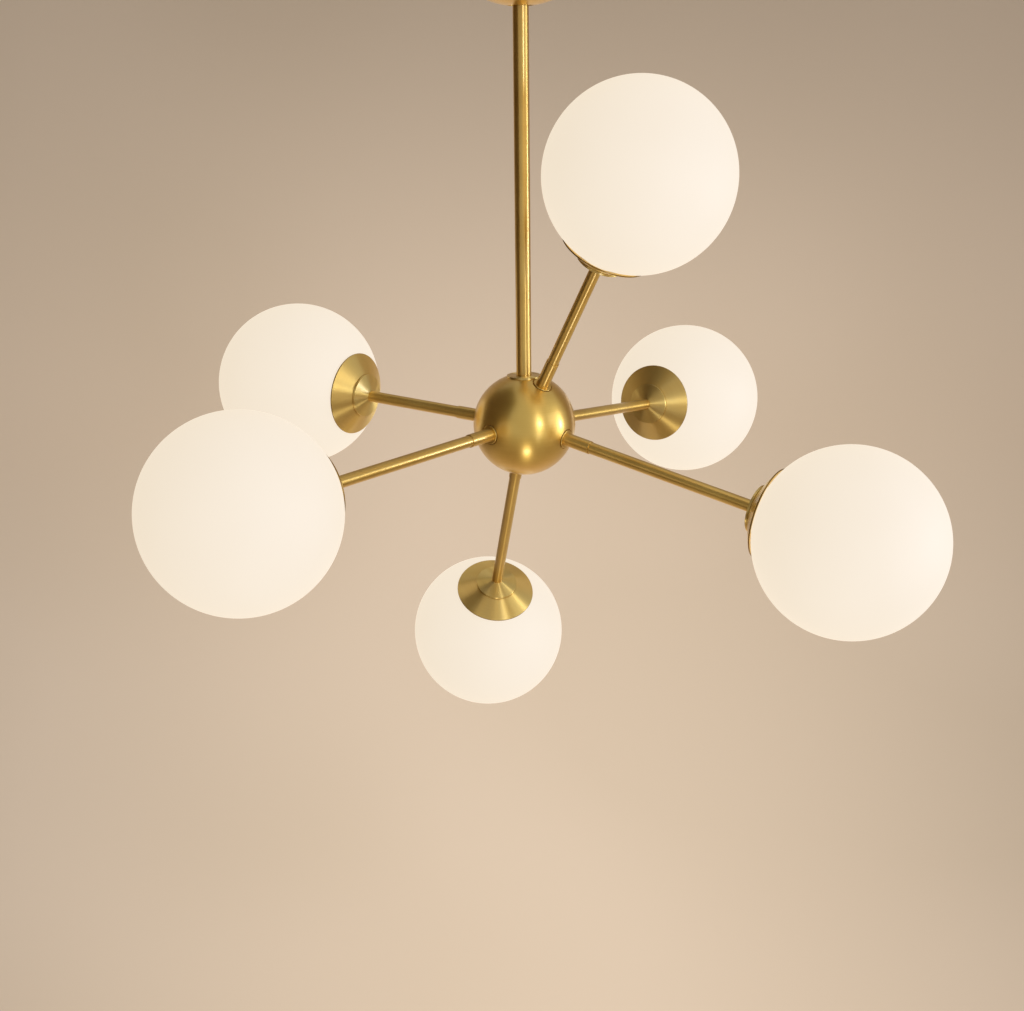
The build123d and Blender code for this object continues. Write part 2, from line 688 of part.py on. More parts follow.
def make_lamp_holder(frame):
    """Ceramic two-pin lamp holder on the end of the arm tube."""
    top = frame.from_globe(HOLDER_LEVEL)
    face = frame.from_globe(HOLDER_FACE_LEVEL)
    with BuildPart() as holder:
        with BuildSketch(frame.at(top)):
            Circle(HOLDER_R)
        extrude(amount=HOLDER_LENGTH)
        bore_out(frame.at(top), CAP_TENON_R + THREAD_GAP, HOLDER_TENON_DEPTH)
        bore_out(frame.at(top), ARM_LEAD_R + THREAD_GAP, HOLDER_LEAD_DEPTH)
        with BuildSketch(frame.at(face - PIN_LENGTH - LOOSE_GAP)):
            with Locations((-PIN_SPACING / 2, 0), (PIN_SPACING / 2, 0)):
                Circle(PIN_R + PIN_HOLE_GAP)
        extrude(amount=HOLDER_LENGTH, mode=Mode.SUBTRACT)
    write_out(holder, f"lamp_holder_{frame.name}")


def make_bulb(frame):
    """Two-pin capsule bulb: pins, base and round-ended envelope."""
    seat = frame.from_globe(BULB_SEAT_LEVEL)
    envelope_start = seat + BULB_BASE_LENGTH
    round_start = frame.from_globe(BULB_TIP_LEVEL) - BULB_R
    with BuildPart() as bulb:
        with BuildSketch(frame.at(seat)):
            Circle(BULB_BASE_R)
        extrude(amount=BULB_BASE_LENGTH)
        with BuildSketch(frame.at(envelope_start)):
            Circle(BULB_R)
        extrude(amount=round_start - envelope_start)
        with Locations(frame.at(round_start)):
            Sphere(BULB_R)
        with BuildSketch(frame.at(seat)):
            with Locations((-PIN_SPACING / 2, 0), (PIN_SPACING / 2, 0)):
                Circle(PIN_R)
        extrude(amount=-PIN_LENGTH)
    write_out(bulb, f"bulb_{frame.name}")


def make_globe(frame):
    """Blown opal globe with a short threaded neck towards the cap."""
    neck_top = frame.from_globe(NECK_TOP_LEVEL)
    with BuildPart() as globe:
        with Locations(frame.at(frame.length)):
            Sphere(GLOBE_R)
        with BuildSketch(frame.at(neck_top)):
            Circle(NECK_OUTER_R)
        extrude(amount=NECK_LENGTH)
        with Locations(frame.at(frame.length)):
            Sphere(GLOBE_R - GLASS_WALL, mode=Mode.SUBTRACT)
        with BuildSketch(frame.at(neck_top)):
            Circle(NECK_OUTER_R)
        extrude(amount=NECK_LENGTH)
        bore_out(frame.at(frame.length - GLOBE_R), NECK_BORE_R, GLOBE_R)
    write_out(globe, f"globe_{frame.name}")


def main():
    os.makedirs("parts", exist_ok=True)
    frames = [ArmFrame(*arm) for arm in ARMS]

    make_mounting_bracket()
    make_swivel_yoke()
    make_yoke_rivets()
    make_earth_screw()
    make_canopy()
    make_canopy_screws()
    make_ball_seat_ring()
    make_hanger_ball()
    make_downrod()
    make_rod_top_nut()

    make_hub_shell(frames)
    make_hub_top_disc()
    make_hub_rod_nut()
    make_hub_bottom_plug()
    make_hub_terminal_block(frames)
    make_supply_lead()

    make_arm_collars(frames)
    make_arm_sleeves(frames)
    make_sleeve_nuts(frames)
    make_arm_leads(frames)
    make_glass_carriers(frames)
    make_cap_nuts(frames)
    make_glass_gaskets(frames)
    for frame in frames:
        make_arm_tube(frame)
        make_boss_disc(frame)
        make_shade_cap(frame)
        make_lamp_holder(frame)
        make_bulb(frame)
        make_globe(frame)


if __name__ == "__main__":
    main()
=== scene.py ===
"""Looks for a six-arm chandelier with lit opal globes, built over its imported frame.

Sizes are in millimetres unless a name or docstring says otherwise, and each
class turns them to metres when it writes a mesh.  The ceiling is at z = 0 and
the lamp hangs below it.
"""

import json
import logging
from abc import ABC, abstractmethod
from dataclasses import dataclass, field
from enum import Enum
from math import acos, asin, atan2, copysign, cos, degrees, hypot, pi, radians, sin, tan

import bpy
from mathutils import Matrix, Vector

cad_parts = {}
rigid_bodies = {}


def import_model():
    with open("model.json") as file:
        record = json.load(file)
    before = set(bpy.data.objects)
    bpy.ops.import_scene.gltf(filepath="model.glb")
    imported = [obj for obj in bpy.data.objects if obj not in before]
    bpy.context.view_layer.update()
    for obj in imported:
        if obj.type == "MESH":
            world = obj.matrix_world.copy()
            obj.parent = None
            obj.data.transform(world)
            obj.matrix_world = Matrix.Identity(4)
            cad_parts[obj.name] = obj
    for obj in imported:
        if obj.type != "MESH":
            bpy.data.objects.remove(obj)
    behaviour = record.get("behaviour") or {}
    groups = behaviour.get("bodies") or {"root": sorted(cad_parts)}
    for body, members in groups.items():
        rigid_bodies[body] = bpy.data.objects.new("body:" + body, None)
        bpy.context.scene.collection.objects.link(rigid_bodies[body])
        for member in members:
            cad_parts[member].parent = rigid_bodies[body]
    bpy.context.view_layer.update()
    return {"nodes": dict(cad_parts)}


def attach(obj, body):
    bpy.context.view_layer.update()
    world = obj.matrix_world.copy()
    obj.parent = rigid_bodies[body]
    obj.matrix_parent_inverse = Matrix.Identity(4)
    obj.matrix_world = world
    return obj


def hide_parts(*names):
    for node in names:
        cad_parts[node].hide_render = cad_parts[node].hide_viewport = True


log = logging.getLogger("chandelier")

MM = 0.001
TURNED_UV = "Turned"
HUB_Z = -380.9
HUB_R = 44.0
ROD_R = 6.5
SLEEVE_END = 68.0
LEAD_BORE = 2.0
THREAD_R = 3.0
# Play between a bore and what sits in it.
CLEARANCE = 0.05
HUB_PLACE = Matrix.Translation((0.0, 0.0, HUB_Z))
UPRIGHT = Matrix.Identity(4)
# A radius under this lies on the turning axis, where a row is one point.
ON_AXIS = 1e-6

# What feeds a node's input: a socket, or a node for its first output.
Feed = bpy.types.NodeSocket | bpy.types.Node
# Radius and height of a point, and the two parts of its normal.
Row = tuple[float, float, float, float]
# Place in millimetres and aim of each copy.
Marks = list[tuple[Vector, Vector]]

for leftover in list(bpy.data.objects):
    bpy.data.objects.remove(leftover)
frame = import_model()


class Body(str, Enum):
    """Moving bodies of the lamp that are not numbered by arm."""

    MOUNT = "ceiling_mount"
    SEAT = "seat_ring"
    BALL = "swivel_ball"
    STEM = "stem"


class Slot(str, Enum):
    """Names for material slots of the pieces that are modelled again; no piece is given one here."""

    SATIN_BRASS = "satin_brass"
    TURNED_BRASS = "turned_brass"
    ZINC_STEEL = "zinc_steel"
    OPAL_GLASS = "opal_glass"
    BULB_DIFFUSER = "bulb_diffuser"


def linear(colour: str) -> tuple[float, float, float, float]:
    """Turn an sRGB hex colour into linear RGBA.

    Args:
        colour: Six hex digits after a hash sign.

    Returns:
        The linear colour with an alpha of one.
    """
    channels = [int(colour[i:i + 2], 16) / 255 for i in (1, 3, 5)]
    straight = [c / 12.92 if c <= 0.04045 else ((c + 0.055) / 1.055) ** 2.4 for c in channels]
    return (*straight, 1.0)


def add_node(
    tree: bpy.types.NodeTree,
    kind: str,
    settings: dict[str, object] | None = None,
    inputs: dict[str | int, object] | None = None,
    links: dict[str | int, Feed] | None = None,
) -> bpy.types.Node:
    """Add one node with its settings, values and incoming links.

    Args:
        tree: Node tree that gets the node.
        kind: The node's type name.
        settings: Properties of the node itself.
        inputs: Values for its input sockets, by name or number.
        links: What feeds its input sockets, by name or number.

    Returns:
        The new node.
    """
    node = tree.nodes.new(kind)
    for name, value in (settings or {}).items():
        setattr(node, name, value)
    for key, value in (inputs or {}).items():
        node.inputs[key].default_value = value
    for key, feed in (links or {}).items():
        socket = feed.outputs[0] if isinstance(feed, bpy.types.Node) else feed
        tree.links.new(socket, node.inputs[key])
    return node


def object_noise(
    tree: bpy.types.NodeTree, size: float, detail: float, roughness: float = 0.5
) -> bpy.types.Node:
    """Add noise in object space.

    Args:
        tree: Node tree that gets the noise.
        size: Size of its patches, in millimetres.
        detail: Number of finer layers.
        roughness: Strength of the finer layers.

    Returns:
        The noise node.
    """
    place = add_node(tree, "ShaderNodeTexCoord")
    return add_node(tree, "ShaderNodeTexNoise", inputs={
        "Scale": 1 / (size * MM), "Detail": detail, "Roughness": roughness},
        links={"Vector": place.outputs["Object"]})


def two_tones(
    tree: bpy.types.NodeTree, factor: Feed, low: tuple[float, str], high: tuple[float, str]
) -> bpy.types.Node:
    """Turn a factor into a colour between two tones.

    Args:
        tree: Node tree that gets the ramp.
        factor: What drives it.
        low: Place and sRGB hex colour of the lower stop.
        high: Place and sRGB hex colour of the upper stop.

    Returns:
        The ramp node.
    """
    ramp = add_node(tree, "ShaderNodeValToRGB", links={0: factor})
    for stop, (position, tone) in zip(ramp.color_ramp.elements, (low, high)):
        stop.position = position
        stop.color = linear(tone)
    return ramp


def link_new(name: str, data: bpy.types.ID) -> bpy.types.Object:
    """Make an object around a mesh, light or camera and link it to the scene.

    Args:
        name: Name of the object.
        data: What it shows.

    Returns:
        The object.
    """
    made = bpy.data.objects.new(name, data)
    bpy.context.scene.collection.objects.link(made)
    return made


# --- finishes
@dataclass(frozen=True)
class Finish(ABC):
    """A surface finish that builds one procedural material."""

    name: str

    @abstractmethod
    def paint(self, tree: bpy.types.NodeTree) -> bpy.types.Node:
        """Add the finish's nodes and return its shader node."""

    def material(self) -> bpy.types.Material:
        """Build the material once and return it.

        Returns:
            The material, taken from the file when it is there already.
        """
        known = bpy.data.materials.get(self.name)
        if known is not None:
            return known
        made = bpy.data.materials.new(self.name)
        made.use_nodes = True
        tree = made.node_tree
        tree.nodes.clear()
        shader = self.paint(tree)
        add_node(tree, "ShaderNodeOutputMaterial", links={"Surface": shader})
        return made


@dataclass(frozen=True)
class SatinBrass(Finish):
    """Spun or turned brass, satin finished round its axis and lacquered.

    The wheel leaves rings round the axis, so light spreads across them: cones
    show bright and dark sectors, a ball shows tall soft spots.  Real rings are
    about 0.1 mm apart; they are drawn 0.7 mm or more apart so that they show.
    """

    name: str = "satin_finished_brass"
    light: str = "#F0CA6A"
    deep: str = "#E1B657"
    ring_spacing: float = 0.7
    ring_share: float = 0.35
    tone_size: float = 45.0
    roughness: float = 0.34
    anisotropy: float = 0.55
    lacquer: float = 0.6
    lacquer_roughness: float = 0.2
    relief: float = 0.03

    def paint(self, tree: bpy.types.NodeTree) -> bpy.types.Node:
        """Rings from the turned UV map, soft tone drift from object space."""
        uv = add_node(tree, "ShaderNodeUVMap", {"uv_map": TURNED_UV})
        along = add_node(tree, "ShaderNodeSeparateXYZ", links={0: uv})
        angle = add_node(tree, "ShaderNodeMath", {"operation": "MULTIPLY"}, {1: 2 * pi}, {0: along})
        east = add_node(tree, "ShaderNodeMath", {"operation": "COSINE"}, links={0: angle})
        north = add_node(tree, "ShaderNodeMath", {"operation": "SINE"}, links={0: angle})
        rise = add_node(tree, "ShaderNodeMath", {"operation": "MULTIPLY"},
                        {1: 1 / self.ring_spacing}, {0: along.outputs[1]})
        wrapped = add_node(tree, "ShaderNodeCombineXYZ", links={0: east, 1: north, 2: rise})
        rings = add_node(tree, "ShaderNodeTexNoise", inputs={
            "Scale": 1.0, "Detail": 3.0, "Roughness": 0.6}, links={"Vector": wrapped})
        tone = object_noise(tree, self.tone_size, 2.0)
        drift = add_node(tree, "ShaderNodeMath", {"operation": "MULTIPLY_ADD"},
                         {1: self.ring_share}, {0: rings, 2: tone})
        colour = two_tones(tree, drift, (0.45, self.deep), (0.90, self.light))
        gloss = add_node(tree, "ShaderNodeMapRange", inputs={
            "From Min": 0.3, "From Max": 1.0,
            "To Min": self.roughness - 0.03, "To Max": self.roughness + 0.04}, links={"Value": drift})
        relief = add_node(tree, "ShaderNodeBump", inputs={
            "Strength": self.relief, "Distance": 0.02 * MM}, links={"Height": rings})
        lay = add_node(tree, "ShaderNodeTangent", {"direction_type": "UV_MAP", "uv_map": TURNED_UV})
        return add_node(tree, "ShaderNodeBsdfPrincipled", inputs={
            "Metallic": 1.0, "Anisotropic": self.anisotropy, "Anisotropic Rotation": 0.25,
            "Coat Weight": self.lacquer, "Coat Roughness": self.lacquer_roughness},
            links={"Base Color": colour, "Roughness": gloss, "Normal": relief, "Tangent": lay})


@dataclass(frozen=True)
class CastTone(Finish):
    """Shared recipe of the plain finishes: a colour drift and a fine relief."""

    light: str
    deep: str
    grain: float
    metallic: float
    roughness: float
    relief: float
    emission: str = "#000000"
    glow: float = 0.0

    def paint(self, tree: bpy.types.NodeTree) -> bpy.types.Node:
        """Noise in object space drives colour, gloss and relief."""
        grain = object_noise(tree, self.grain, 4.0, 0.55)
        colour = two_tones(tree, grain, (0.3, self.deep), (0.7, self.light))
        gloss = add_node(tree, "ShaderNodeMapRange", inputs={
            "From Min": 0.3, "From Max": 0.7,
            "To Min": self.roughness - 0.05, "To Max": self.roughness + 0.05}, links={"Value": grain})
        relief = add_node(tree, "ShaderNodeBump", inputs={
            "Strength": 0.3, "Distance": self.relief * MM}, links={"Height": grain})
        return add_node(tree, "ShaderNodeBsdfPrincipled", inputs={
            "Metallic": self.metallic, "Emission Color": linear(self.emission),
            "Emission Strength": self.glow},
            links={"Base Color": colour, "Roughness": gloss, "Normal": relief})


@dataclass(frozen=True)
class OpalGlass(Finish):
    """Three-layer opal glass, etched satin outside, lit by the bulb inside.

    The lit wall glows warm and almost evenly.  Blown glass is thinner in
    places, so the glow drifts by one or two percent over some 60 mm.
    """

    name: str = "opal_glass_satin"
    thick: str = "#646973"
    thin: str = "#6A6F79"
    glow: str = "#EEDFC8"
    drift_size: float = 60.0
    etch_size: float = 0.8
    strength: float = 0.99

    def paint(self, tree: bpy.types.NodeTree) -> bpy.types.Node:
        """Glow on the shader's own sockets, drift in colour, gloss and relief."""
        drift = object_noise(tree, self.drift_size, 2.0, 0.4)
        colour = two_tones(tree, drift, (0.3, self.thick), (0.7, self.thin))
        etch = object_noise(tree, self.etch_size, 2.0)
        gloss = add_node(tree, "ShaderNodeMapRange", inputs={
            "From Min": 0.3, "From Max": 0.7, "To Min": 0.62, "To Max": 0.7}, links={"Value": etch})
        relief = add_node(tree, "ShaderNodeBump", inputs={
            "Strength": 0.05, "Distance": 0.02 * MM}, links={"Height": etch})
        return add_node(tree, "ShaderNodeBsdfPrincipled", inputs={
            "IOR": 1.5, "Emission Color": linear(self.glow), "Emission Strength": self.strength},
            links={"Base Color": colour, "Roughness": gloss, "Normal": relief})


# Turned machine brass, left bare: pale, with fine tool marks.
TURNED_BRASS = CastTone("turned_machine_brass", "#EBCB8A", "#D9B36C", 1.2, 1.0, 0.30, 0.02)
# Zinc plated sheet steel: a cool grey with a spangle some millimetres wide.
ZINC_STEEL = CastTone("zinc_plated_steel", "#C9CCCF", "#AFB3B8", 4.0, 1.0, 0.38, 0.02)
# Unglazed porcelain: chalk white, matt, with a fine grain.
PORCELAIN = CastTone("unglazed_porcelain", "#F1EEE6", "#E6E1D6", 1.5, 0.0, 0.60, 0.03)
# Silicone rubber: milky and slightly shiny.
SILICONE = CastTone("silicone_rubber", "#E9E7E2", "#DDDAD2", 3.0, 0.0, 0.45, 0.02)
# PVC sheath of the leads: near black, smooth.
LEAD_SHEATH = CastTone("pvc_lead_sheath", "#2B2A29", "#201F1E", 2.0, 0.0, 0.40, 0.01)
# Frosted diffuser of the capsule bulb, lit from inside.
BULB_DIFFUSER = CastTone("frosted_bulb_diffuser", "#F7F1E4", "#EFE7D6", 2.0, 0.0, 0.35, 0.01,
                         "#FFE8C8", 0.55)
# Brown felt of the studio's flag.
FLAG_FELT = CastTone("brown_felt", "#6A5A48", "#5F5040", 8.0, 0.0, 0.90, 0.10)
# Nickel plated contact pins.
PIN_NICKEL = CastTone("nickel_plated_pins", "#D8D5CF", "#C4C0B8", 1.0, 1.0, 0.25, 0.01)
# Hub, plug, collars, ball, seat ring and canopy: brushed round, then lacquered.
SATIN_BRASS = SatinBrass()
# Arm tubes, sleeves and rod: drawn tube, its marks wider apart and shallower.
DRAWN_BRASS = SatinBrass("drawn_brass", "#E8C36A", "#D8AE55", 1.6,
                         roughness=0.38, anisotropy=0.8, relief=0.01)
# Cone caps: spun sheet, brushed more strongly; the hub's brass with a paler base, painted light that
# makes the caps read brighter.
SPUN_BRASS_PAINTED_LIGHT = SatinBrass("spun_brass", "#FBDA82", "#F1CA6E", roughness=0.45, anisotropy=0.94)
# Lip band of the caps: a darker, duller copy of the brass, a painted dark reflection along the rim.
PAINTED_DARK_RIM_BRASS = SatinBrass("cut_edge_brass", "#A27C38", "#86652A", roughness=0.40, anisotropy=0.3)
# Bosses and hub disc: faced on a lathe, so the light fans out widest; the hub's brass with the palest
# base, painted light that makes them read brighter.
FACED_BRASS_PAINTED_LIGHT = SatinBrass("faced_brass", "#FDE08A", "#F5D076", roughness=0.46, anisotropy=1.0)
# Globes: white opal between two clear layers, etched to a satin skin outside.
OPAL_GLASS = OpalGlass()


# --- turned shapes
@dataclass(frozen=True)
class Knot:
    """One point of a turned outline.

    Attributes:
        radius: Distance from the axis.
        height: Place along the axis.
        fillet: Rounding of the corner there.
        normal: Outward direction, for a point on an arc, which isn't a corner.
    """

    radius: float
    height: float
    fillet: float = 0.2
    normal: tuple[float, float] | None = None


def arc(
    centre: float, radius: float, start: float, end: float, count: int, hollow: bool = False
) -> list[Knot]:
    """Points of a circular arc about a point on the axis.

    Args:
        centre: Height of the arc's centre.
        radius: Radius of the arc.
        start: First angle from the axis, in degrees.
        end: Last angle from the axis, in degrees.
        count: Number of steps.
        hollow: True where the material lies outside the arc.

    Returns:
        The knots; the two ends are corners unless they lie on the axis.
    """
    knots = []
    for step in range(count + 1):
        angle = radians(start + (end - start) * step / count)
        out = (sin(angle), cos(angle))
        inside = 0 < step < count or abs(out[0]) < ON_AXIS
        facing = (-out[0], -out[1]) if hollow else out
        knots.append(Knot(max(radius * out[0], 0.0), centre + radius * out[1],
                          normal=facing if inside else None))
    return knots


@dataclass
class Outline:
    """An outline for turning, run so that the material lies on its left.

    With the radius to the right and the height upwards, that is
    counter-clockwise.

    Attributes:
        knots: Its points; a plain tuple gives radius, height and fillet.
        closed: True for a ring, false where both ends lie on the axis.
        steps: Segments in each rounded corner.
        reach: Share of the shorter side that a rounding may take.
        straight: Bend in radians under which a corner isn't rounded.
    """

    knots: list[Knot | tuple[float, ...]]
    closed: bool = True
    steps: int = 3
    reach: float = 0.45
    straight: float = 1e-4

    def __post_init__(self) -> None:
        """Make knots of the plain tuples."""
        self.knots = [knot if isinstance(knot, Knot) else Knot(*knot) for knot in self.knots]

    def rows(self) -> list[Row]:
        """Rounded points as radius, height and the two parts of the normal."""
        made: list[Row] = []
        count = len(self.knots)
        for i, knot in enumerate(self.knots):
            if knot.normal is not None:
                made.append((knot.radius, knot.height, *knot.normal))
                continue
            if not self.closed and i in (0, count - 1):
                other = self.knots[1] if i == 0 else self.knots[-2]
                rise = knot.height - other.height or (1.0 if i else -1.0)
                made.append((knot.radius, knot.height, 0.0, copysign(1.0, rise)))
                continue
            made.extend(self._corner(self.knots[i - 1], knot, self.knots[(i + 1) % count]))
        return made

    def _corner(self, before: Knot, knot: Knot, after: Knot) -> list[Row]:
        """Arc of points that rounds one corner."""
        here = Vector((knot.radius, knot.height))
        come = here - Vector((before.radius, before.height))
        go = Vector((after.radius, after.height)) - here
        reach = self.reach * min(come.length, go.length)
        come.normalize()
        go.normalize()
        turn = come.x * go.y - come.y * go.x
        bend = atan2(turn, come.dot(go))
        if abs(bend) < self.straight:
            return [(here.x, here.y, come.y, -come.x)]
        size = min(knot.fillet, reach / tan(abs(bend) / 2))
        first = here - come * (size * tan(abs(bend) / 2))
        side = 1.0 if bend > 0 else -1.0
        out = Vector((come.y, -come.x))
        middle = first - out * (size * side)
        found = []
        for step in range(self.steps + 1):
            share = bend * step / self.steps
            facing = Vector((out.x * cos(share) - out.y * sin(share),
                             out.x * sin(share) + out.y * cos(share)))
            spot = middle + facing * (size * side)
            found.append((max(spot.x, 0.0), spot.y, facing.x, facing.y))
        return found


@dataclass
class TurnedPart:
    """One outline turned about an axis, with its finish.

    Attributes:
        outline: What is turned.
        finish: Its surface.
        segments: Steps round the axis.
        offset: Place of the axis, across the piece's own.
        edge: Other finish of a band, or none; on the caps it is a painted dark reflection along the lip.
        band: Lowest and highest middle of the faces in that band.
    """

    outline: Outline
    finish: Finish
    segments: int
    offset: tuple[float, float] = (0.0, 0.0)
    edge: Finish | None = None
    band: tuple[float, float] = (0.0, 0.0)

    def finishes(self) -> list[Finish]:
        """Finish of each step along the outline."""
        rows = self.outline.rows()
        ring = rows + rows[:1] if self.outline.closed else rows
        levels = [(low[1] + high[1]) / 2 for low, high in zip(ring, ring[1:])]
        return [self.edge if self.edge and self.band[0] <= level <= self.band[1] else self.finish
                for level in levels]


@dataclass
class TurnedPiece:
    """Turns one or more outlines into one mesh object.

    Attributes:
        name: Name of the object.
        place: Frame in millimetres; its Z is the turning axis.
        parts: The outlines, each with a finish.
        points: Filled by build, as are normals, faces and turns.
    """

    name: str
    place: Matrix
    parts: list[TurnedPart]
    points: list[Vector] = field(default_factory=list, init=False)
    normals: list[Vector] = field(default_factory=list, init=False)
    faces: list[tuple[int, ...]] = field(default_factory=list, init=False)
    turns: list[tuple[float, float]] = field(default_factory=list, init=False)

    def build(self) -> bpy.types.Object:
        """Make the mesh with its UV map, normals and materials.

        Returns:
            The finished object, at the origin.
        """
        finishes: list[Finish] = []
        indices: list[int] = []
        for part in self.parts:
            self._turn(part)
            for finish in part.finishes():
                if finish not in finishes:
                    finishes.append(finish)
                indices += [finishes.index(finish)] * part.segments
        mesh = bpy.data.meshes.new(self.name)
        mesh.from_pydata([p * MM for p in self.points], [], self.faces)
        layer = mesh.uv_layers.new(name=TURNED_UV)
        layer.data.foreach_set("uv", [c for pair in self.turns for c in pair])
        mesh.polygons.foreach_set("material_index", indices)
        mesh.shade_smooth()
        mesh.normals_split_custom_set_from_vertices(self.normals)
        for finish in finishes:
            mesh.materials.append(finish.material())
        mesh.update()
        return link_new(self.name, mesh)

    def _turn(self, part: TurnedPart) -> None:
        """Append one turned outline to the piece's lists."""
        rows = part.outline.rows()
        count = part.segments
        spin = self.place.to_3x3()
        starts: list[int] = []
        for radius, height, out, up in rows:
            starts.append(len(self.points))
            for j in range(1 if radius < ON_AXIS else count):
                angle = 2 * pi * j / count
                ca, sa = cos(angle), sin(angle)
                local = Vector((radius * ca + part.offset[0], radius * sa + part.offset[1], height))
                self.points.append(self.place @ local)
                self.normals.append(spin @ Vector((out * ca, out * sa, up)).normalized())
        lengths = [0.0]
        ring = rows + rows[:1] if part.outline.closed else rows
        for (r0, h0, *_), (r1, h1, *_) in zip(ring, ring[1:]):
            lengths.append(lengths[-1] + hypot(r1 - r0, h1 - h0))
        for i in range(len(ring) - 1):
            low, high = starts[i], starts[(i + 1) % len(rows)]
            low_pole, high_pole = ring[i][0] < ON_AXIS, ring[i + 1][0] < ON_AXIS
            v0, v1 = lengths[i], lengths[i + 1]
            for j in range(count):
                k = (j + 1) % count
                u0, u1 = j / count, (j + 1) / count
                middle = (u0 + u1) / 2
                below = [(low, middle)] if low_pole else [(low + j, u0), (low + k, u1)]
                above = [(high, middle)] if high_pole else [(high + k, u1), (high + j, u0)]
                self.faces.append(tuple(corner for corner, _ in below + above))
                self.turns += [(u, v0) for _, u in below] + [(u, v1) for _, u in above]


def turned(
    name: str, place: Matrix, outline: Outline, finish: Finish, segments: int
) -> bpy.types.Object:
    """Turn one outline with one finish.

    Args:
        name: Name of the object.
        place: Frame in millimetres; its Z is the turning axis.
        outline: What is turned.
        finish: Its surface.
        segments: Steps round the axis.

    Returns:
        The finished object, at the origin.
    """
    return TurnedPiece(name, place, [TurnedPart(outline, finish, segments)]).build()


def cut_away(piece: bpy.types.Object, cutters: list[bpy.types.Object]) -> bpy.types.Object:
    """Cut pieces out of another and delete them.

    Args:
        piece: The object that is cut.
        cutters: The objects that cut it.

    Returns:
        One plain mesh object with the piece's name.
    """
    name = piece.name
    for cutter in cutters:
        cut = piece.modifiers.new("cut", "BOOLEAN")
        cut.operation = "DIFFERENCE"
        cut.solver = "EXACT"
        cut.object = cutter
    graph = bpy.context.evaluated_depsgraph_get()
    result = bpy.data.meshes.new_from_object(piece.evaluated_get(graph))
    for spare in (piece, *cutters):
        bpy.data.objects.remove(spare)
    return link_new(name, result)


def settle(
    piece: bpy.types.Object, node: str, body: str = Body.STEM.value
) -> None:
    """Tie a finished piece to its body and the node it stands for.

    Args:
        piece: The object.
        node: Frame node it replaces.
        body: Body it moves with.
    """
    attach(piece, body)
    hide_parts(node)
    log.info("%s: %d faces on %s", piece.name, len(piece.data.polygons), body)


def dress(node: str, finish: Finish) -> None:
    """Give a frame node that stays visible its finish.

    Args:
        node: Name of the node.
        finish: Its surface.
    """
    kept = frame["nodes"][node]
    for slot in kept.material_slots:
        slot.material = finish.material()
    log.info("%s: kept, %s", node, finish.name)


# --- repeated pieces
class RepeatTree:
    """Geometry Nodes tree that sets one turned piece on every marked point."""

    TITLE = "set_on_marks"
    INPUTS = {"Geometry": "Geometry", "Piece": "Object", "Stand Off": "Float", "Finish": "Material"}

    def __init__(self) -> None:
        """Build the tree with its named inputs."""
        tree = bpy.data.node_groups.new(self.TITLE, "GeometryNodeTree")
        face = tree.interface
        self.keys = {
            name: face.new_socket(name, in_out="INPUT", socket_type=f"NodeSocket{kind}").identifier
            for name, kind in self.INPUTS.items()}
        face.new_socket("Geometry", in_out="OUTPUT", socket_type="NodeSocketGeometry")
        given = add_node(tree, "NodeGroupInput")
        aim = add_node(tree, "GeometryNodeInputNamedAttribute",
                       {"data_type": "FLOAT_VECTOR"}, {"Name": "aim"})
        push = add_node(tree, "ShaderNodeVectorMath", {"operation": "SCALE"}, links={
            0: aim, "Scale": given.outputs["Stand Off"]})
        moved = add_node(tree, "GeometryNodeSetPosition", links={
            "Geometry": given.outputs["Geometry"], "Offset": push})
        turn = add_node(tree, "FunctionNodeAlignRotationToVector", {"axis": "Z"},
                        links={"Vector": aim})
        source = add_node(tree, "GeometryNodeObjectInfo", links={"Object": given.outputs["Piece"]})
        placed = add_node(tree, "GeometryNodeInstanceOnPoints", links={
            "Points": moved, "Instance": source.outputs["Geometry"], "Rotation": turn})
        real = add_node(tree, "GeometryNodeRealizeInstances", links={0: placed})
        painted = add_node(tree, "GeometryNodeSetMaterial", links={
            "Geometry": real, "Material": given.outputs["Finish"]})
        add_node(tree, "NodeGroupOutput", links={0: painted})
        self.tree = tree

    def spread(
        self,
        name: str,
        piece: bpy.types.Object,
        marks: Marks,
        finish: Finish,
        stand_off: float = 0.0,
    ) -> bpy.types.Object:
        """Set copies of a piece on marks and return them as one mesh.

        Args:
            name: Name of the finished object.
            piece: The turned piece, about the origin with its axis on Z.
            marks: Place in millimetres and aim of each copy.
            finish: Surface of the copies.
            stand_off: Distance from each mark along its aim.

        Returns:
            One plain mesh object; the source piece is deleted.
        """
        mesh = bpy.data.meshes.new(name + "_marks")
        mesh.from_pydata([place * MM for place, _ in marks], [], [])
        aims = mesh.attributes.new("aim", "FLOAT_VECTOR", "POINT")
        aims.data.foreach_set("vector", [c for _, aim in marks for c in aim])
        holder = link_new(name + "_marks", mesh)
        modifier = holder.modifiers.new("set", "NODES")
        modifier.node_group = self.tree
        modifier[self.keys["Piece"]] = piece
        modifier[self.keys["Stand Off"]] = stand_off * MM
        modifier[self.keys["Finish"]] = finish.material()
        graph = bpy.context.evaluated_depsgraph_get()
        result = bpy.data.meshes.new_from_object(holder.evaluated_get(graph))
        result.name = name
        holder.modifiers.remove(modifier)
        bpy.data.objects.remove(holder)
        bpy.data.objects.remove(piece)
        return link_new(name, result)


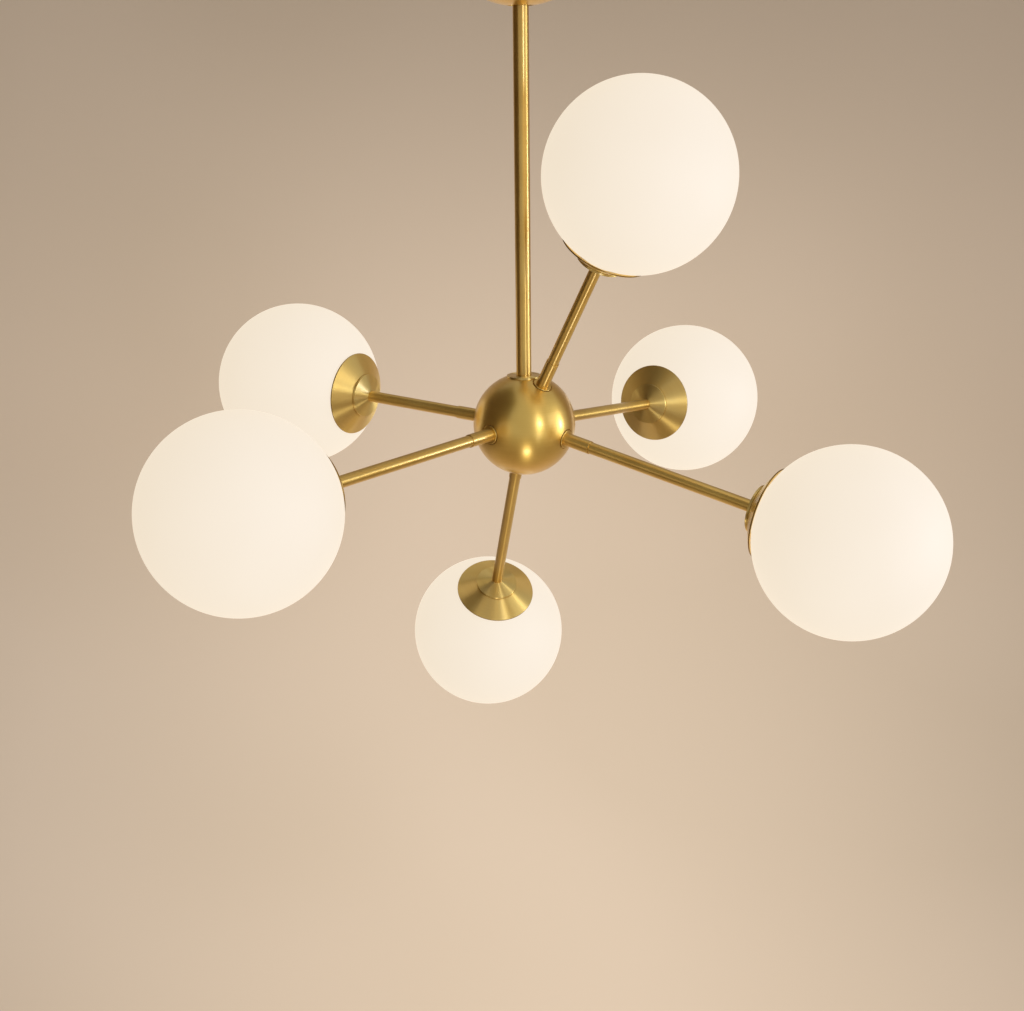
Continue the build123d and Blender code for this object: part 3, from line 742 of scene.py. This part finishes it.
# --- the arms
@dataclass(frozen=True)
class Arm:
    """One arm's place.

    Attributes:
        name: Where it points, as the camera sees it.
        showing: Length of sleeve and tube between hub and boss.
        azimuth: Direction on the plan, in degrees.
        elevation: Angle above level, in degrees.
    """

    name: str
    showing: float
    azimuth: float
    elevation: float

    def aim(self) -> Vector:
        """Unit vector from the hub to the globe."""
        a, e = radians(self.azimuth), radians(self.elevation)
        return Vector((cos(e) * cos(a), cos(e) * sin(a), sin(e)))

    def place(self) -> Matrix:
        """Frame at the hub's centre with its Z along the arm."""
        a = radians(self.azimuth)
        z = self.aim()
        x = Vector((-sin(a), cos(a), 0.0))
        y = z.cross(x)
        made = Matrix((x, y, z)).transposed().to_4x4()
        made.translation = HUB_PLACE.translation
        return made


ARMS = (
    Arm("top", 120.0, -45.5, 59.5),
    Arm("left", 120.0, 148.5, 2.5),
    Arm("front", 175.0, -133.0, -2.0),
    Arm("bottom", 175.0, 103.0, -57.0),
    Arm("back", 175.0, 56.0, -6.5),
    Arm("right", 175.0, -34.5, -10.5),
)


# Hidden pieces that keep the frame's own shapes.
KEPT = {
    TURNED_BRASS: ("hub_rod_nut", "sleeve_nuts", "cap_nuts", "glass_carriers", "earth_screw",
                   "canopy_side_screws", "rod_top_nut"),
    ZINC_STEEL: ("mounting_bracket", "swivel_yoke"),
    PORCELAIN: ("hub_terminal_block", *(f"lamp_holder_{arm.name}" for arm in ARMS)),
    SILICONE: ("glass_gaskets",),
    LEAD_SHEATH: ("supply_lead", "arm_leads"),
}


@dataclass
class ArmSet:
    """Tube, boss, cap, bulb and globe of each arm.

    Names that end in level give a distance from the globe's centre towards
    the hub.
    """

    tube_r: float = 5.0
    thread_length: float = 12.0
    tenon_r: float = 4.0
    tenon_level: float = 69.2
    globe_r: float = 75.0
    glass: float = 2.3
    boss_level: float = 84.6
    cap_top: float = 77.5
    cap_rim: float = 67.5
    cap_lip: float = 66.3
    cap_rim_r: float = 37.3
    shoulder_r: float = 19.8
    wall: float = 1.2
    boss_r: float = 19.5
    boss_edge: float = 2.4
    boss_flat: float = 0.2
    boss_chamfer: float = 0.1
    boss_gap: float = 0.6
    boss_undercut: float = 1.0
    lip_band: float = 0.2
    neck_bore: float = 17.2
    neck_outer: float = 20.4
    neck_top: float = 74.6
    pin_spacing: float = 9.0
    pin_r: float = 0.75
    pin_length: float = 8.0
    pin_root: float = 0.2
    rib_count: int = 9
    rib_start: float = 3.0
    rib_pitch: float = 1.1
    rib_depth: float = 0.35
    bulb_level: float = 51.8
    bulb_base_r: float = 7.4
    bulb_base: float = 15.0
    bulb_r: float = 8.0
    bulb_length: float = 44.0

    def build(self) -> None:
        """Make the pieces of all six arms."""
        for arm in ARMS:
            length = HUB_R + arm.showing + self.boss_level
            self._tube(arm, length)
            self._boss(arm, length)
            self._cap(arm, length)
            self._bulb(arm, length)
            self._globe(arm, length)

    def _tube(self, arm: Arm, length: float) -> None:
        """Arm tube from the sleeve's end to the boss, with its tenons."""
        start = SLEEVE_END - self.thread_length
        boss, end = length - self.boss_level, length - self.tenon_level
        outline = Outline([
            (LEAD_BORE, start), (THREAD_R, start), (THREAD_R, SLEEVE_END, 0.05),
            (self.tube_r, SLEEVE_END, 0.35), (self.tube_r, boss, 0.1), (self.tenon_r, boss, 0.05),
            (self.tenon_r, end), (LEAD_BORE, end)])
        piece = turned(f"brass_arm_{arm.name}", arm.place(), outline, DRAWN_BRASS, 72)
        settle(piece, f"arm_tube_{arm.name}")

    def _boss(self, arm: Arm, length: float) -> None:
        """Cone between tube and cap, with a shadow gap under its edge."""
        base, top = length - self.cap_top, length - self.boss_level
        gap_r = self.boss_r - self.boss_undercut
        outline = Outline([
            (self.tenon_r, top, 0.05), (self.tube_r + self.boss_flat, top, 0.15),
            (self.boss_r, base - self.boss_edge, 0.3), (self.boss_r, base - self.boss_gap, 0.05),
            (gap_r, base - self.boss_gap + self.boss_chamfer, 0.05), (gap_r, base, 0.05),
            (self.tenon_r, base, 0.05)])
        piece = turned(f"brass_boss_{arm.name}", arm.place(), outline, FACED_BRASS_PAINTED_LIGHT, 128)
        settle(piece, f"boss_disc_{arm.name}")

    def _cap(self, arm: Arm, length: float) -> None:
        """Spun cone cap with a short straight lip."""
        top, rim, lip = (length - level for level in (self.cap_top, self.cap_rim, self.cap_lip))
        slope = atan2(rim - top, self.cap_rim_r - self.shoulder_r)
        drop = self.wall / cos(slope)
        inner_rim = self.cap_rim_r - self.wall
        outline = Outline([
            (self.tenon_r, top, 0.05), (self.shoulder_r, top, 0.6), (self.cap_rim_r, rim, 0.5),
            (self.cap_rim_r, lip, 0.25), (inner_rim, lip, 0.25),
            (inner_rim, rim + drop - self.wall * tan(slope), 0.3),
            (self.shoulder_r - (drop - self.wall) / tan(slope), top + self.wall, 0.3),
            (self.tenon_r, top + self.wall, 0.05)])
        # The lip band is painted darker: a painted dark reflection along the rim.
        band = (rim + self.lip_band, lip)
        part = TurnedPart(outline, SPUN_BRASS_PAINTED_LIGHT, 192, edge=PAINTED_DARK_RIM_BRASS, band=band)
        piece = TurnedPiece(f"brass_cap_{arm.name}", arm.place(), [part]).build()
        settle(piece, f"shade_cap_{arm.name}")

    def _bulb(self, arm: Arm, length: float) -> None:
        """Two-pin capsule bulb with a ribbed base."""
        seat = length - self.bulb_level
        base = seat + self.bulb_base
        tip = seat + self.bulb_length
        ribs = [Knot(self.bulb_base_r - self.rib_depth * (i % 2),
                     seat + self.rib_start + self.rib_pitch * i, 0.2) for i in range(self.rib_count)]
        cup = Outline([
            (0.0, seat), (self.bulb_base_r, seat, 0.5), *ribs, (self.bulb_base_r, base, 0.3),
            (0.0, base)], closed=False)
        dome = Outline([
            (0.0, base), (self.bulb_r, base + CLEARANCE, 0.3),
            *reversed(arc(tip - self.bulb_r, self.bulb_r, 0.0, 90.0, 20))], closed=False)
        parts = [TurnedPart(cup, PORCELAIN, 64), TurnedPart(dome, BULB_DIFFUSER, 64)]
        for side in (-0.5, 0.5):
            foot, head = seat - self.pin_length, seat + self.pin_root
            pin = Outline([
                (0.0, foot), (self.pin_r, foot, 0.4), (self.pin_r, head, 0.05),
                (0.0, head)], closed=False)
            parts.append(TurnedPart(pin, PIN_NICKEL, 20, (side * self.pin_spacing, 0.0)))
        piece = TurnedPiece(f"capsule_bulb_{arm.name}", arm.place(), parts).build()
        settle(piece, f"bulb_{arm.name}", f"bulb_{arm.name}")

    def _globe(self, arm: Arm, length: float) -> None:
        """Blown globe with a thin wall and a short neck."""
        inner = self.globe_r - self.glass
        mouth = length - self.neck_top
        outer_turn = 180 - degrees(asin(self.neck_outer / self.globe_r))
        inner_turn = 180 - degrees(asin(self.neck_bore / inner))
        wall = list(reversed(arc(length, self.globe_r, 0.0, outer_turn, 84)))
        hollow = arc(length, inner, 0.0, inner_turn, 72, hollow=True)
        outside = Outline([
            Knot(self.neck_bore, mouth, normal=(-0.7, -0.7)), (self.neck_outer, mouth, 0.6),
            *wall], closed=False)
        inside = Outline([*hollow, Knot(self.neck_bore, mouth, normal=(-1.0, 0.0))], closed=False)
        parts = [TurnedPart(half, OPAL_GLASS, 144) for half in (outside, inside)]
        piece = TurnedPiece(f"opal_globe_{arm.name}", arm.place(), parts).build()
        settle(piece, f"globe_{arm.name}", f"globe_{arm.name}")


# --- the hub
@dataclass
class Hub:
    """Ball hub with its top disc, bottom plug and the arm seats."""

    wall: float = 3.5
    skin: float = 0.03
    disc_seat: float = 41.4
    disc_r: float = 14.8
    disc_thick: float = 1.5
    plug_seat: float = 41.9
    plug_thread_r: float = 12.6
    collar_r: float = 8.0
    collar_seat: float = 42.5
    collar_thick: float = 1.5
    sleeve_r: float = 5.6
    spigot_r: float = 4.0
    groove: float = 0.8
    groove_floor: float = 41.2
    cutter_start: float = 30.0
    cutter_end: float = 48.0
    plug_thread: float = 3.5
    coin_slot: tuple[float, float, float] = (16.0, 0.8, 1.0)
    sleeve_start: float = 35.5
    thread_start: float = 56.0

    def build(self, repeats: RepeatTree) -> None:
        """Make the hub's pieces.

        Args:
            repeats: Tree that sets collars and sleeves on the arms.
        """
        self._shell()
        self._disc()
        self._plug()
        marks = [(HUB_PLACE.translation, arm.aim()) for arm in ARMS]
        self._collars(repeats, marks)
        self._sleeves(repeats, marks)

    def _shell(self) -> None:
        """Hollow ball with a seat for each collar and a shadow gap round it."""
        inner = HUB_R - self.wall
        plug_r = self.plug_thread_r + CLEARANCE
        high = degrees(acos(self.disc_seat / HUB_R))
        low = 180 - degrees(acos(self.plug_seat / HUB_R))
        inner_high = degrees(asin(ROD_R / inner))
        inner_low = 180 - degrees(asin(plug_r / inner))
        outline = Outline([
            *reversed(arc(0.0, HUB_R, high, low, 150)), (ROD_R, self.disc_seat, 0.1),
            *arc(0.0, inner, inner_high, inner_low, 60, hollow=True), (plug_r, -self.plug_seat, 0.1)])
        bore, seat, groove = (r + gap for r, gap in (
            (self.spigot_r, CLEARANCE), (self.collar_r, CLEARANCE), (self.collar_r, self.groove)))
        cutter = Outline([
            (0.0, self.cutter_start), (bore, self.cutter_start, 0.01), (bore, self.collar_seat, 0.01),
            (seat, self.collar_seat, 0.01), (seat, self.groove_floor, 0.01),
            (groove, self.groove_floor, 0.01), (groove, self.cutter_end, 0.01),
            (0.0, self.cutter_end)], closed=False)
        shell = turned("brass_hub", HUB_PLACE, outline, SATIN_BRASS, 256)
        cutters = [turned(f"seat_{arm.name}", arm.place(), cutter, SATIN_BRASS, 96) for arm in ARMS]
        made = cut_away(shell, cutters)
        self._smooth(made.data)
        settle(made, "hub_shell")

    def _smooth(self, mesh: bpy.types.Mesh) -> None:
        """Give the ball its true normals and leave the cut faces flat."""
        centre = HUB_PLACE.translation * MM
        spots = [v.co - centre for v in mesh.vertices]
        mesh.shade_smooth()
        corners: list[Vector] = [Vector((0.0, 0.0, 1.0))] * len(mesh.loops)
        for face in mesh.polygons:
            reach = [spots[i].length / MM for i in face.vertices]
            outside = all(abs(r - HUB_R) < self.skin for r in reach)
            inside = all(abs(r - HUB_R + self.wall) < self.skin for r in reach)
            for loop, vertex in zip(face.loop_indices, face.vertices):
                if outside:
                    corners[loop] = spots[vertex].normalized()
                elif inside:
                    corners[loop] = -spots[vertex].normalized()
                else:
                    corners[loop] = face.normal.copy()
        mesh.normals_split_custom_set(corners)

    def _disc(self) -> None:
        """Flat disc round the rod."""
        low, high = self.disc_seat, self.disc_seat + self.disc_thick
        outline = Outline([
            (ROD_R, low, 0.05), (self.disc_r, low, 0.15), (self.disc_r, high, 0.4), (ROD_R, high, 0.15)])
        piece = turned("brass_hub_disc", HUB_PLACE, outline, FACED_BRASS_PAINTED_LIGHT, 128)
        settle(piece, "hub_top_disc")

    def _plug(self) -> None:
        """Screw plug, flush with the ball, with a coin slot."""
        edge = degrees(acos(self.plug_seat / HUB_R))
        ball = arc(0.0, HUB_R, 180.0, 180.0 - edge, 30)
        top = -self.plug_seat + self.plug_thread
        outline = Outline([
            *ball, (self.plug_thread_r, -self.plug_seat, 0.05), (self.plug_thread_r, top, 0.3),
            (0.0, top)], closed=False)
        plug = turned("brass_hub_plug", HUB_PLACE, outline, SATIN_BRASS, 128)
        saw = bpy.data.meshes.new("coin_slot")
        half = Vector(self.coin_slot) * MM
        corners = [Vector((sx * half.x, sy * half.y, (HUB_Z - HUB_R) * MM + sz * half.z))
                   for sx in (-1, 1) for sy in (-1, 1) for sz in (-1, 1)]
        saw.from_pydata(corners, [], [(0, 1, 3, 2), (4, 6, 7, 5), (0, 4, 5, 1),
                                      (2, 3, 7, 6), (0, 2, 6, 4), (1, 5, 7, 3)])
        made = cut_away(plug, [link_new("coin_slot", saw)])
        self._smooth(made.data)
        settle(made, "hub_bottom_plug")

    def _collars(self, repeats: RepeatTree, marks: Marks) -> None:
        """Thin rings in the seats, rounded at their outer edge."""
        high = self.collar_thick
        outline = Outline([
            (self.spigot_r, 0.0, 0.05), (self.collar_r, 0.0, 0.05), (self.collar_r, high, 0.6),
            (self.spigot_r, high, 0.05)])
        ring = turned("collar", UPRIGHT, outline, SATIN_BRASS, 96)
        made = repeats.spread("brass_collars", ring, marks, SATIN_BRASS, self.collar_seat)
        settle(made, "arm_collars")

    def _sleeves(self, repeats: RepeatTree, marks: Marks) -> None:
        """Screwed sleeves between hub and tubes."""
        low, face, high = self.sleeve_start, self.collar_seat + self.collar_thick, SLEEVE_END
        outline = Outline([
            (LEAD_BORE, low, 0.1), (self.spigot_r, low, 0.3), (self.spigot_r, face, 0.05),
            (self.sleeve_r, face, 0.05), (self.sleeve_r, high, 0.15), (THREAD_R, high, 0.05),
            (THREAD_R, self.thread_start, 0.05), (LEAD_BORE, self.thread_start, 0.05)])
        sleeve = turned("sleeve", UPRIGHT, outline, DRAWN_BRASS, 72)
        made = repeats.spread("brass_sleeves", sleeve, marks, DRAWN_BRASS)
        settle(made, "arm_sleeves")


# --- rod, swivel and canopy
@dataclass
class Ceiling:
    """Rod, swivel ball, seat ring, canopy and what the canopy hides."""

    rod_bore: float = 4.8
    rod_top: float = -10.0
    ball_z: float = -22.0
    ball_r: float = 13.0
    canopy_r: float = 60.0
    dome_r: float = 75.0
    dome_z: float = 35.0
    hole_r: float = 10.5
    wall: float = 1.2
    rod_bottom: float = HUB_Z + 34.8
    rod_chamfer: float = 0.5
    thread_flanks: int = 12
    thread_depth: float = 0.28
    thread_pitch: float = 1.0
    ball_cap: float = 6.0
    ball_foot: float = 10.5
    ring_radii: tuple[float, float] = (13.1, 14.9)
    ring_drops: tuple[float, float] = (5.0, 9.9)
    rivet_head: tuple[float, float] = (2.8, 1.0)
    rivet_shank: tuple[float, float] = (1.6, 5.0)
    rivet_place: tuple[float, float, float] = (23.75, 11.0, -5.0)

    def build(self, repeats: RepeatTree) -> None:
        """Make the pieces above the hub.

        Args:
            repeats: Tree that sets the rivets.
        """
        self._rod()
        self._ball()
        self._seat()
        self._canopy()
        self._rivets(repeats)

    def _rod(self) -> None:
        """Drop rod with a threaded end above the ball."""
        flanks = self.thread_flanks
        thread = [Knot(ROD_R - self.thread_depth * (i % 2),
                       self.rod_top - self.thread_pitch * (flanks - i) / 2, 0.1) for i in range(flanks)]
        outline = Outline([
            (self.rod_bore, self.rod_bottom), (ROD_R, self.rod_bottom, 0.3), *thread,
            (ROD_R - self.rod_chamfer, self.rod_top, 0.1), (self.rod_bore, self.rod_top)])
        rod = turned("brass_rod", UPRIGHT, outline, DRAWN_BRASS, 96)
        settle(rod, "downrod")

    def _ball(self) -> None:
        """Bored ball that hangs in the yoke."""
        up = degrees(acos(self.ball_cap / self.ball_r))
        down = 180 - degrees(acos(self.ball_foot / self.ball_r))
        bore = ROD_R + CLEARANCE
        outline = Outline([
            (bore, self.ball_z - self.ball_foot, 0.2),
            *reversed(arc(self.ball_z, self.ball_r, up, down, 48)),
            (bore, self.ball_z + self.ball_cap, 0.2)])
        ball = turned("turned_ball", UPRIGHT, outline, SATIN_BRASS, 96)
        settle(ball, "hanger_ball", Body.BALL.value)

    def _seat(self) -> None:
        """Thin spherical ring under the ball."""
        inner, outer = self.ring_radii
        angles = [180 - degrees(acos(drop / r))
                  for r in (outer, inner) for drop in self.ring_drops]
        outline = Outline([
            *reversed(arc(self.ball_z, outer, angles[0], angles[1], 16)),
            *arc(self.ball_z, inner, angles[2], angles[3], 16, hollow=True)])
        ring = turned("turned_seat_ring", UPRIGHT, outline, SATIN_BRASS, 96)
        settle(ring, "ball_seat_ring", Body.SEAT.value)

    def _canopy(self) -> None:
        """Spun dome with a straight rim and a hole for the rod."""
        centre = self.dome_z
        inner = self.dome_r - self.wall
        inside_r = self.canopy_r - self.wall
        turn = [180 - degrees(asin(v / r)) for v, r in (
            (self.hole_r, self.dome_r), (self.canopy_r, self.dome_r),
            (inside_r, inner), (self.hole_r, inner))]
        outline = Outline([
            *arc(centre, self.dome_r, turn[0], turn[1], 90), (self.canopy_r, 0.0, 0.4),
            (inside_r, 0.0, 0.3), *arc(centre, inner, turn[2], turn[3], 80, hollow=True)])
        dome = turned("brass_canopy", UPRIGHT, outline, SATIN_BRASS, 256)
        settle(dome, "canopy", body=Body.MOUNT.value)

    def _rivets(self, repeats: RepeatTree) -> None:
        """Four domed rivet heads under the yoke's flanges."""
        head_r, head = self.rivet_head
        shank_r, end = self.rivet_shank
        outline = Outline([
            (0.0, 0.0), (head_r, 0.0, 0.45), (head_r, head, 0.1), (shank_r, head, 0.05),
            (shank_r, end, 0.05), (0.0, end)], closed=False)
        rivet = turned("rivet", UPRIGHT, outline, ZINC_STEEL, 40)
        x, y, z = self.rivet_place
        marks = [(Vector((sx * x, sy * y, z)), Vector((0.0, 0.0, 1.0)))
                 for sx in (-1, 1) for sy in (-1, 1)]
        made = repeats.spread("steel_rivets", rivet, marks, ZINC_STEEL)
        settle(made, "yoke_rivets", Body.MOUNT.value)


# --- studio
@dataclass(frozen=True)
class StudioPaper(Finish):
    """Matt seamless paper of floor and wall, in one warm beige.

    Paper scatters evenly; a drift of one or two percent over a metre keeps
    it from looking flat.
    """

    name: str = "seamless_paper"
    light: str = "#D2BFA9"
    deep: str = "#CBB8A1"
    drift_size: float = 1250.0

    def paint(self, tree: bpy.types.NodeTree) -> bpy.types.Node:
        """Soft drift in object space."""
        drift = object_noise(tree, self.drift_size, 1.0)
        colour = two_tones(tree, drift, (0.35, self.deep), (0.65, self.light))
        return add_node(tree, "ShaderNodeBsdfPrincipled", inputs={
            "Roughness": 0.9, "Specular IOR Level": 0.1}, links={"Base Color": colour})


PAPER = StudioPaper()
HUB_AIM = (0.0, 0.0, -0.38)
DAYLIGHT = "#E9F0FF"


@dataclass(frozen=True)
class Softbox:
    """One area light.

    Attributes:
        name: Name of the lamp.
        place: Where it stands, in metres.
        aim: What it points at, in metres.
        size: Width and height, in metres.
        power: Power in watts.
        colour: Colour of the light.
    """

    name: str
    place: tuple[float, float, float]
    aim: tuple[float, float, float]
    size: tuple[float, float]
    power: float
    colour: str = "#FFFFFF"

    def build(self) -> None:
        """Hang the lamp."""
        data = bpy.data.lights.new(self.name, "AREA")
        data.shape = "RECTANGLE"
        data.size, data.size_y = self.size
        data.energy = self.power
        data.color = linear(self.colour)[:3]
        lamp = link_new(self.name, data)
        lamp.location = self.place
        sight = Vector(self.aim) - Vector(self.place)
        lamp.rotation_euler = sight.to_track_quat("-Z", "Y").to_euler()
        lamp.visible_camera = False


@dataclass
class Studio:
    """Seamless floor and wall, softboxes and the camera, in metres."""

    floor_z: float = -2.35
    wall_y: float = 2.7
    wall_top: float = 3.0
    floor_start: float = -6.0
    sweep_r: float = 1.3
    sweep_steps: int = 24
    half_width: float = 6.0
    camera_place: tuple[float, float, float] = (-0.0115, -1.2036, -0.0916)
    pitch: float = 16.78
    roll: float = -0.669
    lens: float = 50.27
    sensor: float = 36.0
    ambient: str = "#FFFFFF"
    ambient_strength: float = 0.53
    softboxes: tuple[Softbox, ...] = (
        Softbox("right_box", (1.74, -0.47, -0.28), HUB_AIM, (1.2, 1.3), 5.6, DAYLIGHT),
        Softbox("right_core", (1.73, -0.08, -0.38), HUB_AIM, (0.18, 0.3), 4.6, DAYLIGHT),
        Softbox("front_right_strip", (0.95, -1.55, -0.25), HUB_AIM, (0.3, 1.9), 2.8, DAYLIGHT),
        Softbox("front_right_core", (0.98, -1.42, -0.04), HUB_AIM, (0.15, 0.25), 3.6, DAYLIGHT),
        Softbox("low_front_box", (0.12, -1.1, -1.75), HUB_AIM, (0.3, 0.3), 3.2),
        Softbox("floor_box", (0.05, 0.9, -0.74), (0.0, 2.0, -2.2), (1.9, 0.8), 27.0),
    )
    flag_foot: tuple[float, float] = (-1.55, -1.4)
    flag_head: tuple[float, float] = (-0.75, 2.1)
    flag_y: tuple[float, float] = (-1.45, 0.9)

    def build(self) -> None:
        """Make backdrop, lights, world, camera and view settings."""
        self._sweep()
        self._flag()
        for box in self.softboxes:
            box.build()
        self._world()
        self._camera()
        bpy.context.scene.view_settings.view_transform = "Standard"

    def _sweep(self) -> None:
        """Floor and wall as one bent sheet."""
        line = [(self.floor_start, self.floor_z), (self.wall_y - self.sweep_r, self.floor_z)]
        for step in range(1, self.sweep_steps + 1):
            angle = radians(90 * step / self.sweep_steps)
            line.append((self.wall_y - self.sweep_r + self.sweep_r * sin(angle),
                         self.floor_z + self.sweep_r * (1 - cos(angle))))
        line.append((self.wall_y, self.wall_top))
        points = [(x, y, z) for y, z in line for x in (-self.half_width, self.half_width)]
        faces = [(2 * i, 2 * i + 1, 2 * i + 3, 2 * i + 2) for i in range(len(line) - 1)]
        mesh = bpy.data.meshes.new("seamless")
        mesh.from_pydata(points, [], faces)
        mesh.shade_smooth()
        mesh.materials.append(PAPER.material())
        link_new("seamless", mesh)

    def _flag(self) -> None:
        """Brown felt board that leans in at the left, unseen by the camera."""
        edges = ((self.flag_foot, self.flag_y), (self.flag_head, self.flag_y[::-1]))
        corners = [(x, y, z) for (x, z), ends in edges for y in ends]
        mesh = bpy.data.meshes.new("felt_flag")
        mesh.from_pydata(corners, [], [(0, 1, 2, 3)])
        mesh.materials.append(FLAG_FELT.material())
        board = link_new("felt_flag", mesh)
        board.visible_camera = False

    def _world(self) -> None:
        """Even light from the room."""
        world = bpy.data.worlds.new("room")
        world.use_nodes = True
        tree = world.node_tree
        tree.nodes.clear()
        glow = add_node(tree, "ShaderNodeBackground", inputs={
            "Color": linear(self.ambient), "Strength": self.ambient_strength})
        add_node(tree, "ShaderNodeOutputWorld", links={"Surface": glow})
        bpy.context.scene.world = world

    def _camera(self) -> None:
        """Camera at the photograph's place, turned by its pitch and roll."""
        data = bpy.data.cameras.new("camera")
        data.sensor_fit = "HORIZONTAL"
        data.sensor_width = self.sensor
        data.lens = self.lens
        camera = link_new("camera", data)
        tilt = Matrix.Rotation(radians(90 - self.pitch), 4, "X")
        twist = Matrix.Rotation(radians(self.roll), 4, "Z")
        camera.matrix_world = Matrix.Translation(self.camera_place) @ tilt @ twist
        bpy.context.scene.camera = camera


def main() -> None:
    """Build the studio and the lamp."""
    logging.basicConfig(level=logging.INFO, format="%(message)s")
    Studio().build()
    repeats = RepeatTree()
    Ceiling().build(repeats)
    Hub().build(repeats)
    ArmSet().build()
    for finish, nodes in KEPT.items():
        for node in nodes:
            dress(node, finish)


if __name__ == "__main__":
    main()
